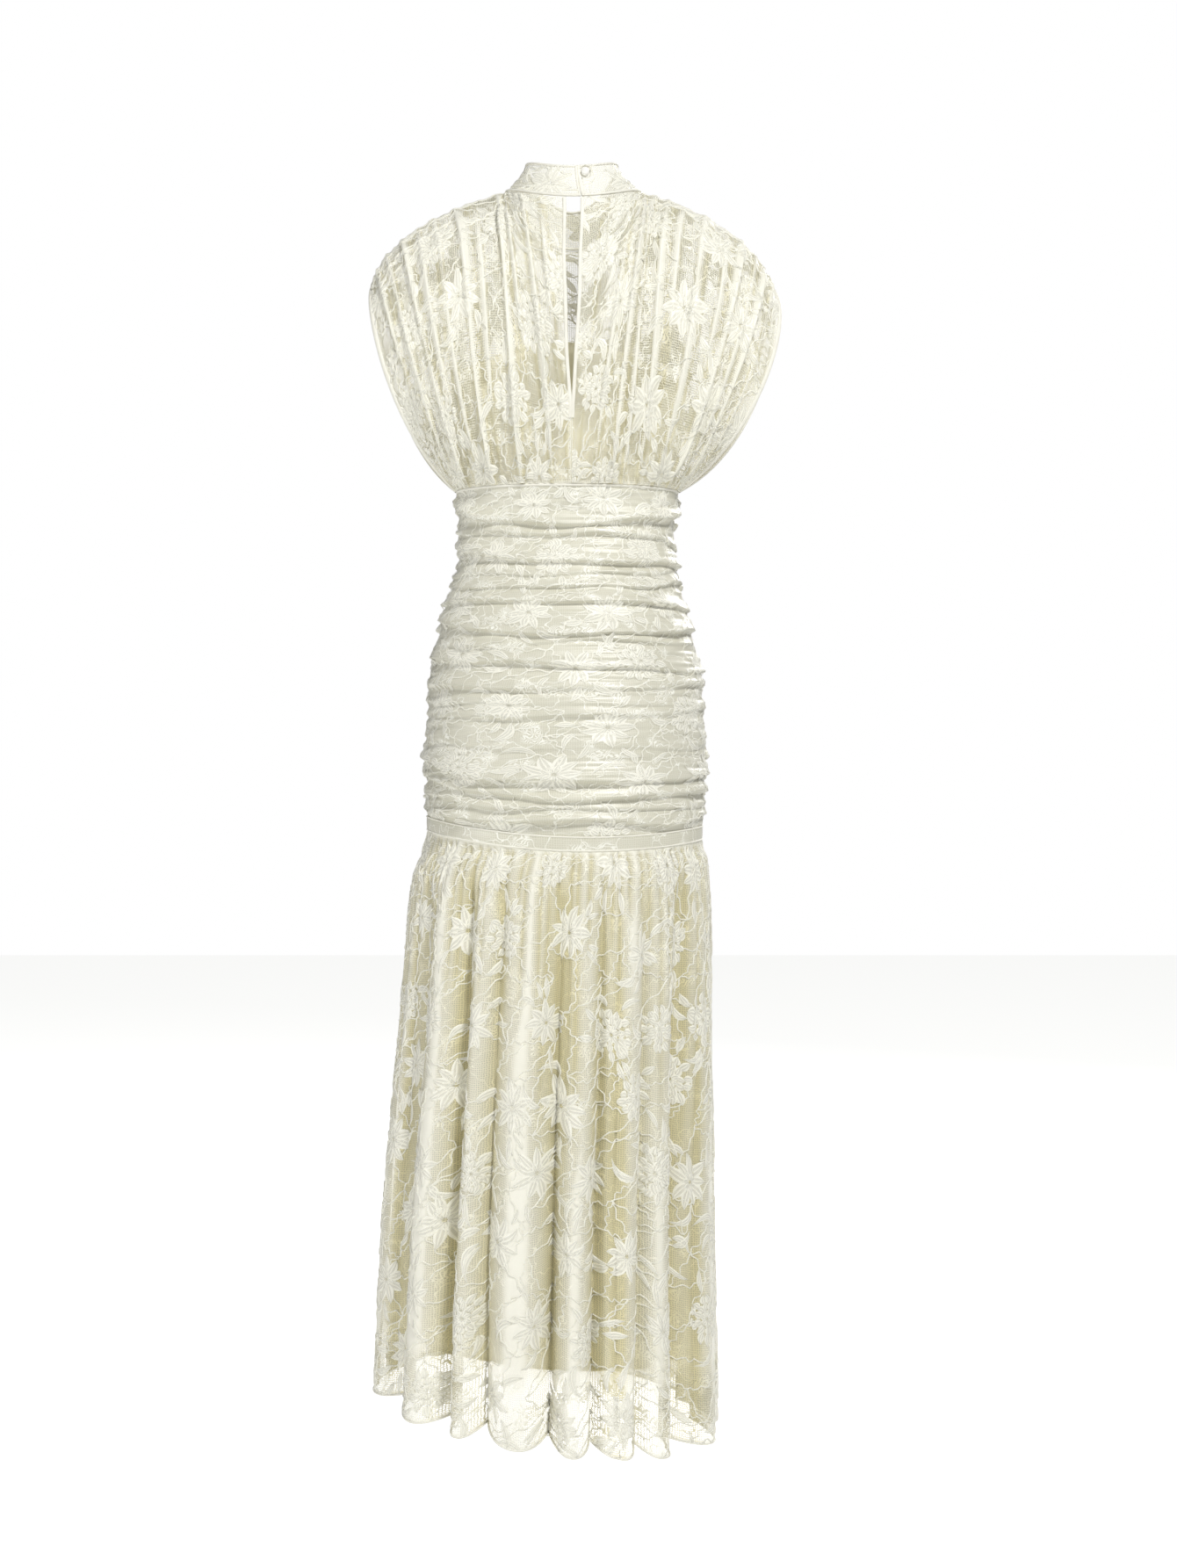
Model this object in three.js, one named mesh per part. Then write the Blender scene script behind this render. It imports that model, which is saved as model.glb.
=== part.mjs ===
// A lace fishtail evening dress in the form it takes when worn: stand collar, gathered bodice with a
// keyhole back and wide cap armholes, ruched hip section, narrow hip band, and a gathered flared skirt
// over a plain lining. Millimetres, +Z up. The front faces -Y and the wearer's left is +X. The origin
// is on the wearer's axis at the height where the neck meets the shoulders.
//
// Each panel is a thin wall grown from a grid of points. A drop is a distance below the origin, and a
// turn is an angle round the wearer: 0 at the left side, a quarter turn at the centre back.

import * as THREE from 'three';

// ---------------------------------------------------------------- driving sizes

const LACE = 1.2; // wall of a lace ply
const RUCHED_PLY = 1.8; // lace and lining gathered together as one ply
const LINING = 1.0; // wall of a lining ply
const TRIM = 1.0; // wall of a binding or facing strip
const SEAM_GAP = 0.3; // between the cut edges of two panels
const LAID_GAP = 0.5; // between a panel and what is laid on it
const NECK_GAP = 0.7; // bodice edge below the collar

const SQUARENESS = 2.15; // of every level ring, where 2 is a plain ellipse
const WAIST_DROP = 328; // seam between the bodice and the ruched section
const WAIST_EASE = 1.6; // gathered bodice outside the figure at that seam
const BAND_HEIGHT = 16;
const BAND_EASE = 0.8; // hip band outside the figure
const SKIRT_EASE = 2.4; // gathered skirt outside the figure at the hip band
const LINING_INSET = 2.6; // bodice lining inside the figure
const SKIRT_LINING_INSET = 1.6; // skirt lining inside the figure at the hip band
const LINING_LAP = 9; // how far each lining runs on past the seam it hangs from

const NECK_SHARE = 0.35; // share of a bodice half that is sewn to the collar
const CAP = { x: 224, z: -96, slope: 0.35 }; // end of the shoulder, over the arm
const CAP_OUT = { left: -3, right: 15 }; // how far each armhole edge stands off the common line
const KEYHOLE = { length: 0.73, halfWidth: 8, rounding: 2.4 }; // length as a share of the centre back
const FACING = { width: 0.032, end: 0.77 }; // keyhole's edge strip, as shares across and down
const BINDING = { width: 0.03, end: 0.97 }; // armhole's folded edge, as shares across and down
const HEM_LIFT = 14; // how much higher the hem hangs in a valley

// The collar's two edges: half width, centre, depth behind and in front, and the height at the sides,
// at the back and at the front.
const COLLAR_BASE = { halfWidth: 78, centreX: -5, back: 62, front: 76, sideZ: 12, backZ: -6, frontZ: -35 };
const COLLAR_TOP = { halfWidth: 52, centreX: -3, back: 50, front: 59, sideZ: 44, backZ: 31, frontZ: 6 };
const CLOSURE = { turn: 97, gap: 1.0 }; // between the collar's ends, in degrees and across
const BUTTON = { x: -18.5, z: 24, radius: 5, thickness: 6.4, standOff: 0.9 };
const LOOP = { cord: 0.8, radius: 6.4, rise: 1.4, standOff: 0.9 }; // rise lengthens the loop upwards

// ---------------------------------------------------------------- tables

// The figure from the bust to the hip band: half width, centre, and depth behind and in front.
const FIGURE = [
  { drop: 120, halfWidth: 139, centreX: -2, back: 86, front: 102 },
  { drop: 200, halfWidth: 138, centreX: 0, back: 87, front: 108 },
  { drop: 260, halfWidth: 134, centreX: 1, back: 84, front: 105 },
  { drop: 328, halfWidth: 125, centreX: 2, back: 79, front: 96 },
  { drop: 375, halfWidth: 121, centreX: 3, back: 74, front: 89 },
  { drop: 410, halfWidth: 122.5, centreX: 3, back: 78, front: 88 },
  { drop: 450, halfWidth: 132, centreX: 4, back: 91, front: 93 },
  { drop: 490, halfWidth: 142.5, centreX: 4, back: 105, front: 98 },
  { drop: 530, halfWidth: 151, centreX: 4, back: 116, front: 103 },
  { drop: 590, halfWidth: 156.5, centreX: 4, back: 125, front: 107 },
  { drop: 650, halfWidth: 157, centreX: 4.5, back: 125, front: 106 },
  { drop: 735, halfWidth: 155, centreX: 5, back: 115, front: 103 },
];

// Below the hip band, over the crests of the lace skirt's folds.
const SKIRT = [
  { drop: 735, halfWidth: 155, centreX: 5, back: 115, front: 103 },
  { drop: 768, halfWidth: 164, centreX: 9, back: 125, front: 113 },
  { drop: 848, halfWidth: 171, centreX: 12, back: 139, front: 126 },
  { drop: 1008, halfWidth: 181, centreX: 18, back: 158, front: 144 },
  { drop: 1168, halfWidth: 188, centreX: 23, back: 173, front: 158 },
  { drop: 1328, halfWidth: 193, centreX: 26, back: 184, front: 169 },
  { drop: 1410, halfWidth: 195, centreX: 27, back: 188, front: 173 },
];

// Below the hip band, over the skirt lining.
const SKIRT_LINING = [
  { drop: 735, halfWidth: 155, centreX: 5, back: 115, front: 103 },
  { drop: 768, halfWidth: 158, centreX: 9, back: 119, front: 107 },
  { drop: 848, halfWidth: 157, centreX: 12, back: 122, front: 109 },
  { drop: 1008, halfWidth: 156, centreX: 18, back: 129, front: 115 },
  { drop: 1168, halfWidth: 157, centreX: 23, back: 139, front: 124 },
  { drop: 1310, halfWidth: 159, centreX: 25, back: 148, front: 132 },
];

// The skirt's large folds in order round the hem, in degrees: each crest, the valley after it, and
// how far in that valley lies at the hem.
const SKIRT_FOLDS = [
  { crest: 12, valley: 31, depth: 22 },
  { crest: 44, valley: 55, depth: 30 },
  { crest: 62, valley: 68.5, depth: 24 },
  { crest: 81, valley: 92, depth: 32 },
  { crest: 99, valley: 107, depth: 20 },
  { crest: 116, valley: 123, depth: 16 },
  { crest: 130, valley: 142, depth: 30 },
  { crest: 160, valley: 173, depth: 22 },
  { crest: 189, valley: 201, depth: 28 },
  { crest: 213, valley: 224, depth: 22 },
  { crest: 234, valley: 243, depth: 28 },
  { crest: 254, valley: 263, depth: 20 },
  { crest: 273, valley: 283, depth: 30 },
  { crest: 293, valley: 302, depth: 22 },
  { crest: 312, valley: 323, depth: 28 },
  { crest: 336, valley: 353, depth: 24 },
];

// Ruched ridges: drop at the centre back, how much higher the left and right ends lie, and
// how far each stands out.
const RUCHES = [
  { drop: 350, leftRise: 10, rightRise: 6, height: 2.6 },
  { drop: 378, leftRise: 8, rightRise: 8, height: 3.2 },
  { drop: 407, leftRise: 6, rightRise: -3, height: 2.8 },
  { drop: 436, leftRise: -2, rightRise: 3, height: 3.2 },
  { drop: 466, leftRise: -7, rightRise: -6, height: 2.6 },
  { drop: 500, leftRise: -6, rightRise: -8, height: 3.2 },
  { drop: 535, leftRise: 3, rightRise: -8, height: 2.4 },
  { drop: 572, leftRise: 6, rightRise: 1, height: 2.2 },
  { drop: 610, leftRise: 11, rightRise: 8, height: 2.4 },
  { drop: 645, leftRise: 12, rightRise: 8, height: 3.2 },
  { drop: 676, leftRise: 9, rightRise: 6, height: 3.0 },
  { drop: 702, leftRise: 5, rightRise: 3, height: 2.4 },
];

// Lines down one half of the back bodice, from the centre to the armhole. Each leaves the neck or
// shoulder at its share across and bends towards two guides, given as distances out from the centre,
// behind, and below. The first row mirrors the third, so that the panel is level across the centre.
const BACK_LINES = [
  { across: -0.35, outA: -82, depthA: 66, dropA: 0, outB: -84, depthB: 122, dropB: 215 },
  { across: 0, outA: 0, depthA: 86, dropA: 92, outB: 0, depthB: 114, dropB: 228 },
  { across: 0.35, outA: 82, depthA: 66, dropA: 0, outB: 84, depthB: 122, dropB: 215 },
  { across: 0.67, outA: 172, depthA: 78, dropA: 30, outB: 158, depthB: 118, dropB: 236 },
  { across: 1, outA: 238, depthA: 60, dropA: 104, outB: 214, depthB: 96, dropB: 262 },
];

// The same for one half of the front bodice.
const FRONT_LINES = [
  { across: -0.35, outA: -84, depthA: 68, dropA: 8, outB: -92, depthB: 186, dropB: 214 },
  { across: 0, outA: 0, depthA: 96, dropA: 110, outB: 0, depthB: 150, dropB: 232 },
  { across: 0.35, outA: 84, depthA: 68, dropA: 8, outB: 92, depthB: 186, dropB: 214 },
  { across: 0.67, outA: 172, depthA: 76, dropA: 30, outB: 166, depthB: 142, dropB: 234 },
  { across: 1, outA: 238, depthA: 60, dropA: 104, outB: 214, depthB: 96, dropB: 262 },
];

const GATHERS = { shareStep: 0.05, height: 2.6, atWaist: 0.4 }; // crests two steps apart

// ---------------------------------------------------------------- shared sums

const { clamp, degToRad, lerp, smoothstep } = THREE.MathUtils;
const LEFT = 1;
const RIGHT = -1;
const BACK = 1;
const FRONT = -1;
const QUARTER = Math.PI / 2;

const evenly = (from, to, count) => Array.from({ length: count + 1 }, (_, i) => lerp(from, to, i / count));

// Every column of a table at one value of its key, on a smooth curve through the rows.
function rowAt(table, key, value) {
  const last = table.length - 1;
  let i = 0;
  while (i < last - 1 && value > table[i + 1][key]) i += 1;
  const [before, start, end, after] = [table[Math.max(i - 1, 0)], table[i], table[i + 1], table[Math.min(i + 2, last)]];
  const span = end[key] - start[key];
  const f = clamp((value - start[key]) / span, 0, 1);
  const found = {};
  for (const column of Object.keys(start)) {
    const leaving = ((end[column] - before[column]) / (end[key] - before[key])) * span;
    const arriving = ((after[column] - start[column]) / (after[key] - start[key])) * span;
    found[column] =
      start[column] * (2 * f ** 3 - 3 * f ** 2 + 1) +
      leaving * (f ** 3 - 2 * f ** 2 + f) +
      end[column] * (3 * f ** 2 - 2 * f ** 3) +
      arriving * (f ** 3 - f ** 2);
  }
  return found;
}

// The level ring at a drop: the figure down to the hip band, then the given skirt table.
function ringAt(drop, below = SKIRT) {
  const table = drop < below[0].drop ? FIGURE : below;
  return { ...rowAt(table, 'drop', drop), drop };
}

// A point on a level ring, moved out: an ellipse squared off a little, deeper behind than in front.
function ringPoint(ring, turn, out) {
  const c = Math.cos(turn);
  const s = Math.sin(turn);
  const reach = (Math.abs(c) ** SQUARENESS + Math.abs(s) ** SQUARENESS) ** (-1 / SQUARENESS);
  const depth = s > 0 ? ring.back : ring.front;
  return new THREE.Vector3(
    ring.centreX + (ring.halfWidth + out) * c * reach,
    (depth + out) * s * reach,
    -ring.drop,
  );
}

// ---------------------------------------------------------------- walls of cloth

const ACROSS_SIDE = new THREE.Vector3(0, 1, 0); // side and shoulder seams
const ACROSS_LEVEL = new THREE.Vector3(0, 0, 1); // waist and hip seams
const ACROSS_CENTRE = new THREE.Vector3(1, 0, 0); // centre back

// The direction out of the cloth where u runs anticlockwise round the wearer and v runs down.
function outward(surface, u, v, stepU, stepV) {
  const here = surface(u, v);
  const along = surface(u + stepU, v).sub(here).multiplyScalar(Math.sign(stepU));
  const down = surface(u, v + stepV).sub(here).multiplyScalar(Math.sign(stepV));
  return down.cross(along).normalize();
}

// A closed wall whose outer face runs through surface(u, v) and whose inner face lies thickness inside
// it. cuts names, for the edges that meet another panel, the direction across that seam: the cut edge
// stays square to it. lift moves the whole wall out, for what is laid on a panel, and crossed splits
// its facets the other way, to match a panel whose rows it runs along.
function wall({ surface, us, vs, thickness, cuts = {}, lift = 0, crossed = false }) {
  const [lastU, lastV] = [us.length - 1, vs.length - 1];
  const stepU = (us[lastU] - us[0]) / 2000;
  const stepV = (vs[lastV] - vs[0]) / 2000;
  const outer = [];
  const inner = [];
  vs.forEach((v, j) => {
    us.forEach((u, i) => {
      const normal = outward(surface, u, v, i < lastU ? stepU : -stepU, j < lastV ? stepV : -stepV);
      const seams = [i === 0 && cuts.start, i === lastU && cuts.end, j === 0 && cuts.top, j === lastV && cuts.bottom];
      for (const seam of seams.filter(Boolean)) normal.addScaledVector(seam, -normal.dot(seam)).normalize();
      outer.push(surface(u, v).addScaledVector(normal, lift));
      inner.push(surface(u, v).addScaledVector(normal, lift - thickness));
    });
  });
  return closedGrid(outer, inner, us.length, vs.length, crossed);
}

// Joins two grids of points into one closed body that faces out.
function closedGrid(outer, inner, columns, rows, crossed) {
  const index = [];
  const quad = (a, b, c, d) => index.push(...(crossed ? [a, b, d, b, c, d] : [a, b, c, a, c, d]));
  const over = (i, j) => j * columns + i;
  const under = (i, j) => outer.length + over(i, j);
  const [lastI, lastJ] = [columns - 1, rows - 1];
  for (let j = 0; j < lastJ; j += 1) {
    for (let i = 0; i < lastI; i += 1) {
      quad(over(i, j), over(i, j + 1), over(i + 1, j + 1), over(i + 1, j));
      quad(under(i, j), under(i + 1, j), under(i + 1, j + 1), under(i, j + 1));
    }
    quad(over(0, j), under(0, j), under(0, j + 1), over(0, j + 1));
    quad(over(lastI, j), over(lastI, j + 1), under(lastI, j + 1), under(lastI, j));
  }
  for (let i = 0; i < lastI; i += 1) {
    quad(over(i, 0), over(i + 1, 0), under(i + 1, 0), under(i, 0));
    quad(over(i, lastJ), under(i, lastJ), under(i + 1, lastJ), over(i + 1, lastJ));
  }
  const geometry = new THREE.BufferGeometry();
  const places = [...outer, ...inner].flatMap((point) => point.toArray());
  geometry.setAttribute('position', new THREE.Float32BufferAttribute(places, 3));
  geometry.setIndex(index);
  geometry.computeVertexNormals();
  return geometry;
}

// Ends of the back or front half, each half a seam gap short of its side seam.
function halfEnds(face, radius) {
  const start = face === BACK ? 0 : Math.PI;
  const short = SEAM_GAP / 2 / radius;
  return [start + short, start + Math.PI - short];
}

const TUBE_STEPS = 12; // facets round half of the figure, the same on every panel that lies on it
const sideSeams = { start: ACROSS_SIDE, end: ACROSS_SIDE };
const tubeTurns = (face) => evenly(...halfEnds(face, FIGURE.at(-1).halfWidth), TUBE_STEPS);

// ---------------------------------------------------------------- collar and its closure

// A point on one edge of the collar.
function collarEdge(edge, turn) {
  const [c, s] = [Math.cos(turn), Math.sin(turn)];
  const z = edge.sideZ * c * c + (s > 0 ? edge.backZ : edge.frontZ) * s * s;
  return new THREE.Vector3(edge.centreX + edge.halfWidth * c, (s > 0 ? edge.back : edge.front) * s, z);
}

// The collar hollows a little between its base and its upright top.
function collarSurface(turn, down) {
  const point = collarEdge(COLLAR_TOP, turn).lerp(collarEdge(COLLAR_BASE, turn), down ** 1.5);
  point.z = lerp(collarEdge(COLLAR_TOP, turn).z, collarEdge(COLLAR_BASE, turn).z, down);
  return point;
}

// Its facets match those of the bodice edges below it, so that the seam between them stays even.
function collar() {
  const steps = NECK_SHARE / GATHERS.shareStep;
  const short = CLOSURE.gap / 2 / COLLAR_TOP.back;
  const start = degToRad(CLOSURE.turn) + short;
  const end = degToRad(CLOSURE.turn) - short + Math.PI * 2;
  const inside = evenly(QUARTER, QUARTER * 5, steps * 4).filter((turn) => turn > start + short);
  const us = [start, ...inside, end];
  const cuts = { top: ACROSS_LEVEL, bottom: ACROSS_LEVEL };
  return wall({ surface: collarSurface, us, vs: evenly(0, 1, 3), thickness: LACE, cuts });
}

// A point clear of the back of the collar by a small amount, at a given place across and up.
function closurePoint(x, z, out) {
  const turn = degToRad(CLOSURE.turn);
  const [top, base] = [collarEdge(COLLAR_TOP, turn).z, collarEdge(COLLAR_BASE, turn).z];
  const down = clamp((top - z) / (top - base), 0, 1) ** 1.5;
  const halfWidth = lerp(COLLAR_TOP.halfWidth, COLLAR_BASE.halfWidth, down);
  const depth = lerp(COLLAR_TOP.back, COLLAR_BASE.back, down);
  const across = (x - lerp(COLLAR_TOP.centreX, COLLAR_BASE.centreX, down)) / halfWidth;
  return new THREE.Vector3(x, depth * Math.sqrt(1 - across ** 2) + out, z);
}

// A flattened ball on a short shank side, its axis square to the collar.
function button() {
  const profile = evenly(-QUARTER, QUARTER, 8).map(
    (lean) => new THREE.Vector2(BUTTON.radius * Math.cos(lean), (BUTTON.thickness / 2) * Math.sin(lean)),
  );
  profile[0].x = 0;
  profile.at(-1).x = 0;
  const place = closurePoint(BUTTON.x, BUTTON.z, BUTTON.standOff + BUTTON.thickness / 2);
  return new THREE.LatheGeometry(profile, 18).translate(...place.toArray());
}

// A cord loop from the buttoned-over end, round the button and back.
function buttonLoop() {
  const swing = evenly(degToRad(38), degToRad(322), 14);
  const points = swing.map((angle) => {
    const x = BUTTON.x + LOOP.radius * Math.cos(angle);
    const z = BUTTON.z + (LOOP.radius + (Math.sin(angle) > 0 ? LOOP.rise : 0)) * Math.sin(angle);
    return closurePoint(x, z, LOOP.standOff + LOOP.cord);
  });
  const section = new THREE.Shape().absarc(0, 0, LOOP.cord, 0, Math.PI * 2);
  const path = new THREE.CatmullRomCurve3([
    closurePoint(BUTTON.x + 10.5, BUTTON.z + 2.2, LOOP.standOff + LOOP.cord),
    ...points,
    closurePoint(BUTTON.x + 10.5, BUTTON.z - 2.2, LOOP.standOff + LOOP.cord),
  ]);
  return new THREE.ExtrudeGeometry(section, { steps: 20, curveSegments: 3, extrudePath: path });
}

// ---------------------------------------------------------------- bodice

// The bodice's upper edge: round under the collar to the side of the neck, then out along the
// shoulder, which slopes gently and turns down over the arm as a quarter circle does.
function upperEdge(side, face, across) {
  const swing = QUARTER * clamp(1 - across / NECK_SHARE, 0, 1);
  const neck = collarEdge(COLLAR_BASE, side === LEFT ? face * swing : Math.PI - face * swing);
  neck.z -= NECK_GAP;
  if (across < NECK_SHARE) return neck;
  const out = QUARTER * ((across - NECK_SHARE) / (1 - NECK_SHARE));
  const fall = CAP.slope * Math.sin(out) + (1 - CAP.slope) * (1 - Math.cos(out));
  return new THREE.Vector3(lerp(neck.x, side * CAP.x, Math.sin(out)), 0, lerp(neck.z, CAP.z, fall));
}

// Half the width of the keyhole at a share of the way down the centre back.
function keyholeHalf(down) {
  return KEYHOLE.halfWidth * (1 - clamp(down / KEYHOLE.length, 0, 1) ** KEYHOLE.rounding);
}

// A point on the smooth bodice: u is 0 at the centre and 1 at either armhole, and each line is a
// cubic curve from the upper edge to the waist seam.
function bodiceForm(face, u, down) {
  const side = u < 0 ? face : -face;
  const across = Math.abs(u);
  const line = rowAt(face === BACK ? BACK_LINES : FRONT_LINES, 'across', across);
  const start = upperEdge(side, face, across);
  const turn = QUARTER * (1 - across);
  const end = ringPoint(ringAt(WAIST_DROP), side === LEFT ? face * turn : Math.PI - face * turn, WAIST_EASE);
  const capOut = (side === LEFT ? CAP_OUT.left : CAP_OUT.right) * across ** 3;
  const guideA = new THREE.Vector3(side * (line.outA + capOut) - 4, face * line.depthA, -line.dropA);
  const guideB = new THREE.Vector3(side * (line.outB + capOut) - 1, face * line.depthB, -line.dropB);
  return new THREE.CubicBezierCurve3(start, guideA, guideB, end).getPoint(down);
}

// How far the cloth stands out in gathers, which fade into the neck and shoulder seams.
function gatherHeight(across, down) {
  const wave = (1 - Math.cos((Math.PI * across) / GATHERS.shareStep)) / 2;
  const ends = smoothstep(across, 0, 0.1) * (1 - smoothstep(across, 0.9, 1));
  const seams = smoothstep(down, 0, 0.15) * lerp(1, GATHERS.atWaist, smoothstep(down, 0.8, 1));
  return GATHERS.height * wave * ends * seams;
}

// The finished bodice: gathers, seam gaps, and on the back the keyhole drawn open.
function bodiceSurface(face, u, down) {
  const side = u < 0 ? face : -face;
  const across = Math.abs(u);
  const point = bodiceForm(face, u, down);
  const form = (uu, vv) => bodiceForm(face, uu, vv);
  const normal = outward(form, u, down, u > 0 ? -1e-3 : 1e-3, down < 0.5 ? 1e-3 : -1e-3);
  normal.z *= 1 - smoothstep(down, 0.85, 1);
  point.addScaledVector(normal, gatherHeight(across, down));
  point.z += SEAM_GAP * smoothstep(down, 0.9, 1);
  point.y += face * (SEAM_GAP / 2) * smoothstep(across, NECK_SHARE - 0.05, NECK_SHARE);
  if (face === BACK) point.x += side * (keyholeHalf(down) + SEAM_GAP / 2) * (1 - across) ** 6;
  return point;
}

// Rows and columns of the panels' grids. They take in the ends and edges of what is laid on them.
const BODICE_ROWS = [0, 0.08, 0.2, 0.37, 0.56, FACING.end, BINDING.end, 1];
const GATHER_SHARES = evenly(GATHERS.shareStep, 1 - GATHERS.shareStep, 1 / GATHERS.shareStep - 2);
const FRONT_SHARES = [0, ...GATHER_SHARES, 1 - BINDING.width, 1];
const BACK_SHARES = [0, FACING.width, ...FRONT_SHARES.slice(1)];
const mirrored = (shares) => shares.map((share) => -share).reverse();

const backBodice = (side) =>
  wall({
    surface: (u, v) => bodiceSurface(BACK, side === LEFT ? Math.min(u, -1e-9) : Math.max(u, 1e-9), v),
    us: side === LEFT ? mirrored(BACK_SHARES) : BACK_SHARES,
    vs: BODICE_ROWS,
    thickness: LACE,
    cuts: { [side === LEFT ? 'end' : 'start']: ACROSS_CENTRE, top: ACROSS_SIDE, bottom: ACROSS_LEVEL },
  });

const frontBodice = () =>
  wall({
    surface: (u, v) => bodiceSurface(FRONT, u, v),
    us: [...mirrored(FRONT_SHARES.slice(1)), ...FRONT_SHARES],
    vs: BODICE_ROWS,
    thickness: LACE,
    cuts: { top: ACROSS_SIDE, bottom: ACROSS_LEVEL },
  });

// The strip down one edge of the keyhole, laid on the back panel.
const placket = (side) =>
  wall({
    surface: (u, v) => bodiceSurface(BACK, side === LEFT ? Math.min(u, -1e-9) : Math.max(u, 1e-9), v),
    us: side === LEFT ? [-FACING.width, 0] : [0, FACING.width],
    vs: BODICE_ROWS.filter((row) => row <= FACING.end),
    thickness: TRIM,
    lift: LAID_GAP + TRIM,
  });

// The folded edge round one armhole, laid on both panels: up from the waist on one face, over the end
// of the shoulder and down the other. u runs along it and v inwards from the edge.
function armholeBinding(side) {
  const down = BODICE_ROWS.filter((row) => row <= BINDING.end);
  const surface = (u, v) => {
    const face = (side === LEFT ? u < 0 : u >= 0) ? BACK : FRONT;
    return bodiceSurface(face, -face * side * (1 - v), Math.abs(u));
  };
  const us = [...mirrored(down.slice(1)), ...down];
  return wall({ surface, us, vs: [0, BINDING.width], thickness: TRIM, lift: LAID_GAP + TRIM, crossed: true });
}

// ---------------------------------------------------------------- ruched section and hip band

// The hip band's lower edge dips at the centre back.
const bandBottom = (turn) => 717.5 - 5.5 * Math.cos(turn) + 15.5 * Math.max(Math.sin(turn), 0) ** 2;
const bandTop = (turn) => bandBottom(turn) - BAND_HEIGHT;

// Drop of one ridge at a turn: it keeps its share of the panel's height there, and its ends rise or
// fall towards the side seams.
function ridgeDrop(ridge, turn) {
  const c = Math.cos(turn);
  const height = (bandTop(turn) - WAIST_DROP) / (bandTop(QUARTER) - WAIST_DROP);
  return lerp(WAIST_DROP, ridge.drop, height) - (c > 0 ? ridge.leftRise : ridge.rightRise) * c * c;
}

// The ruched section's rows: the waist seam, each ridge and the hollow after it, and the band seam.
// v counts them, so an odd row is a ridge and an even one a hollow.
function ruchedSurface(turn, v) {
  const stops = [WAIST_DROP];
  RUCHES.forEach((ridge, i) => {
    const next = RUCHES[i + 1];
    stops.push(ridgeDrop(ridge, turn));
    stops.push(next ? (ridgeDrop(ridge, turn) + ridgeDrop(next, turn)) / 2 : bandTop(turn) - SEAM_GAP);
  });
  const row = Math.min(Math.floor(v), stops.length - 2);
  const drop = lerp(stops[row], stops[row + 1], v - row);
  const ridge = RUCHES[Math.floor(row / 2)];
  return ringPoint(ringAt(drop), turn, (ridge.height * (1 - Math.cos(Math.PI * v))) / 2);
}

const ruched = (face) =>
  wall({
    surface: ruchedSurface,
    us: tubeTurns(face),
    vs: evenly(0, RUCHES.length * 2, RUCHES.length * 2),
    thickness: RUCHED_PLY,
    cuts: { ...sideSeams, top: ACROSS_LEVEL, bottom: ACROSS_LEVEL },
  });

const hipBand = (face) =>
  wall({
    surface: (turn, v) => ringPoint(ringAt(lerp(bandTop(turn), bandBottom(turn), v)), turn, BAND_EASE),
    us: tubeTurns(face),
    vs: [0, 1],
    thickness: RUCHED_PLY,
    cuts: { ...sideSeams, top: ACROSS_LEVEL, bottom: ACROSS_LEVEL },
  });

// ---------------------------------------------------------------- skirt

// How far into a fold a turn lies: 0 on a crest and 1 in a valley, with the depth of that valley.
function foldAt(turn) {
  const degrees = THREE.MathUtils.radToDeg(turn);
  const first = SKIRT_FOLDS[0];
  const folds = [...SKIRT_FOLDS, { ...first, crest: first.crest + 360 }];
  const around = degrees < first.crest ? degrees + 360 : degrees;
  const i = SKIRT_FOLDS.findLastIndex((fold) => fold.crest <= around);
  const { crest, valley, depth } = folds[i];
  const rest = folds[i + 1].crest - valley;
  const share = around < valley ? (around - crest) / (valley - crest) : 1 - (around - valley) / rest;
  return { share: (1 - Math.cos(Math.PI * share)) / 2, depth };
}

const hemDrop = (turn) => 1364 - 26 * Math.cos(turn) + 5 * Math.sin(turn) - HEM_LIFT * foldAt(turn).share;
const liningHemDrop = (turn) => 1290 - 12 * Math.cos(turn);

// Folds deepen steadily from the hip band to the hem.
function skirtSurface(turn, v) {
  const drop = lerp(bandBottom(turn) + SEAM_GAP, hemDrop(turn), v);
  const { share, depth } = foldAt(turn);
  return ringPoint(ringAt(drop), turn, SKIRT_EASE - depth * share * v ** 1.1);
}

// Columns on every crest and valley of one half, and between those that lie far apart.
function foldTurns(face) {
  const [start, end] = halfEnds(face, SKIRT.at(-1).halfWidth);
  const stops = SKIRT_FOLDS.flatMap(({ crest, valley }) => [degToRad(crest), degToRad(valley)]);
  const inside = [start, ...stops.filter((turn) => turn > start && turn < end), end];
  const wide = degToRad(9);
  return inside.flatMap((turn, i) => {
    const next = inside[i + 1];
    return next - turn > wide ? [turn, (turn + next) / 2] : [turn];
  });
}

const laceSkirt = (face) =>
  wall({
    surface: skirtSurface,
    us: foldTurns(face),
    vs: [0, 0.05, 0.13, 0.26, 0.43, 0.62, 0.81, 1],
    thickness: LACE,
    cuts: { ...sideSeams, top: ACROSS_LEVEL },
  });

// ---------------------------------------------------------------- linings

// A strapless tube: low across the back, higher in front, and behind the ruched section at its foot.
function bodiceLiningSurface(turn, v) {
  const [c, s] = [Math.cos(turn), Math.sin(turn)];
  const top = 195 * c * c + (s > 0 ? 245 : 138) * s * s - 6 * c;
  return ringPoint(ringAt(lerp(top, WAIST_DROP + LINING_LAP, v)), turn, -LINING_INSET);
}

function skirtLiningSurface(turn, v) {
  const drop = lerp(bandBottom(turn) - LINING_LAP, liningHemDrop(turn), v);
  return ringPoint(ringAt(drop, SKIRT_LINING), turn, -SKIRT_LINING_INSET);
}

const lining = (surface, face, vs) =>
  wall({ surface, us: tubeTurns(face), vs, thickness: LINING, cuts: sideSeams });

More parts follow.
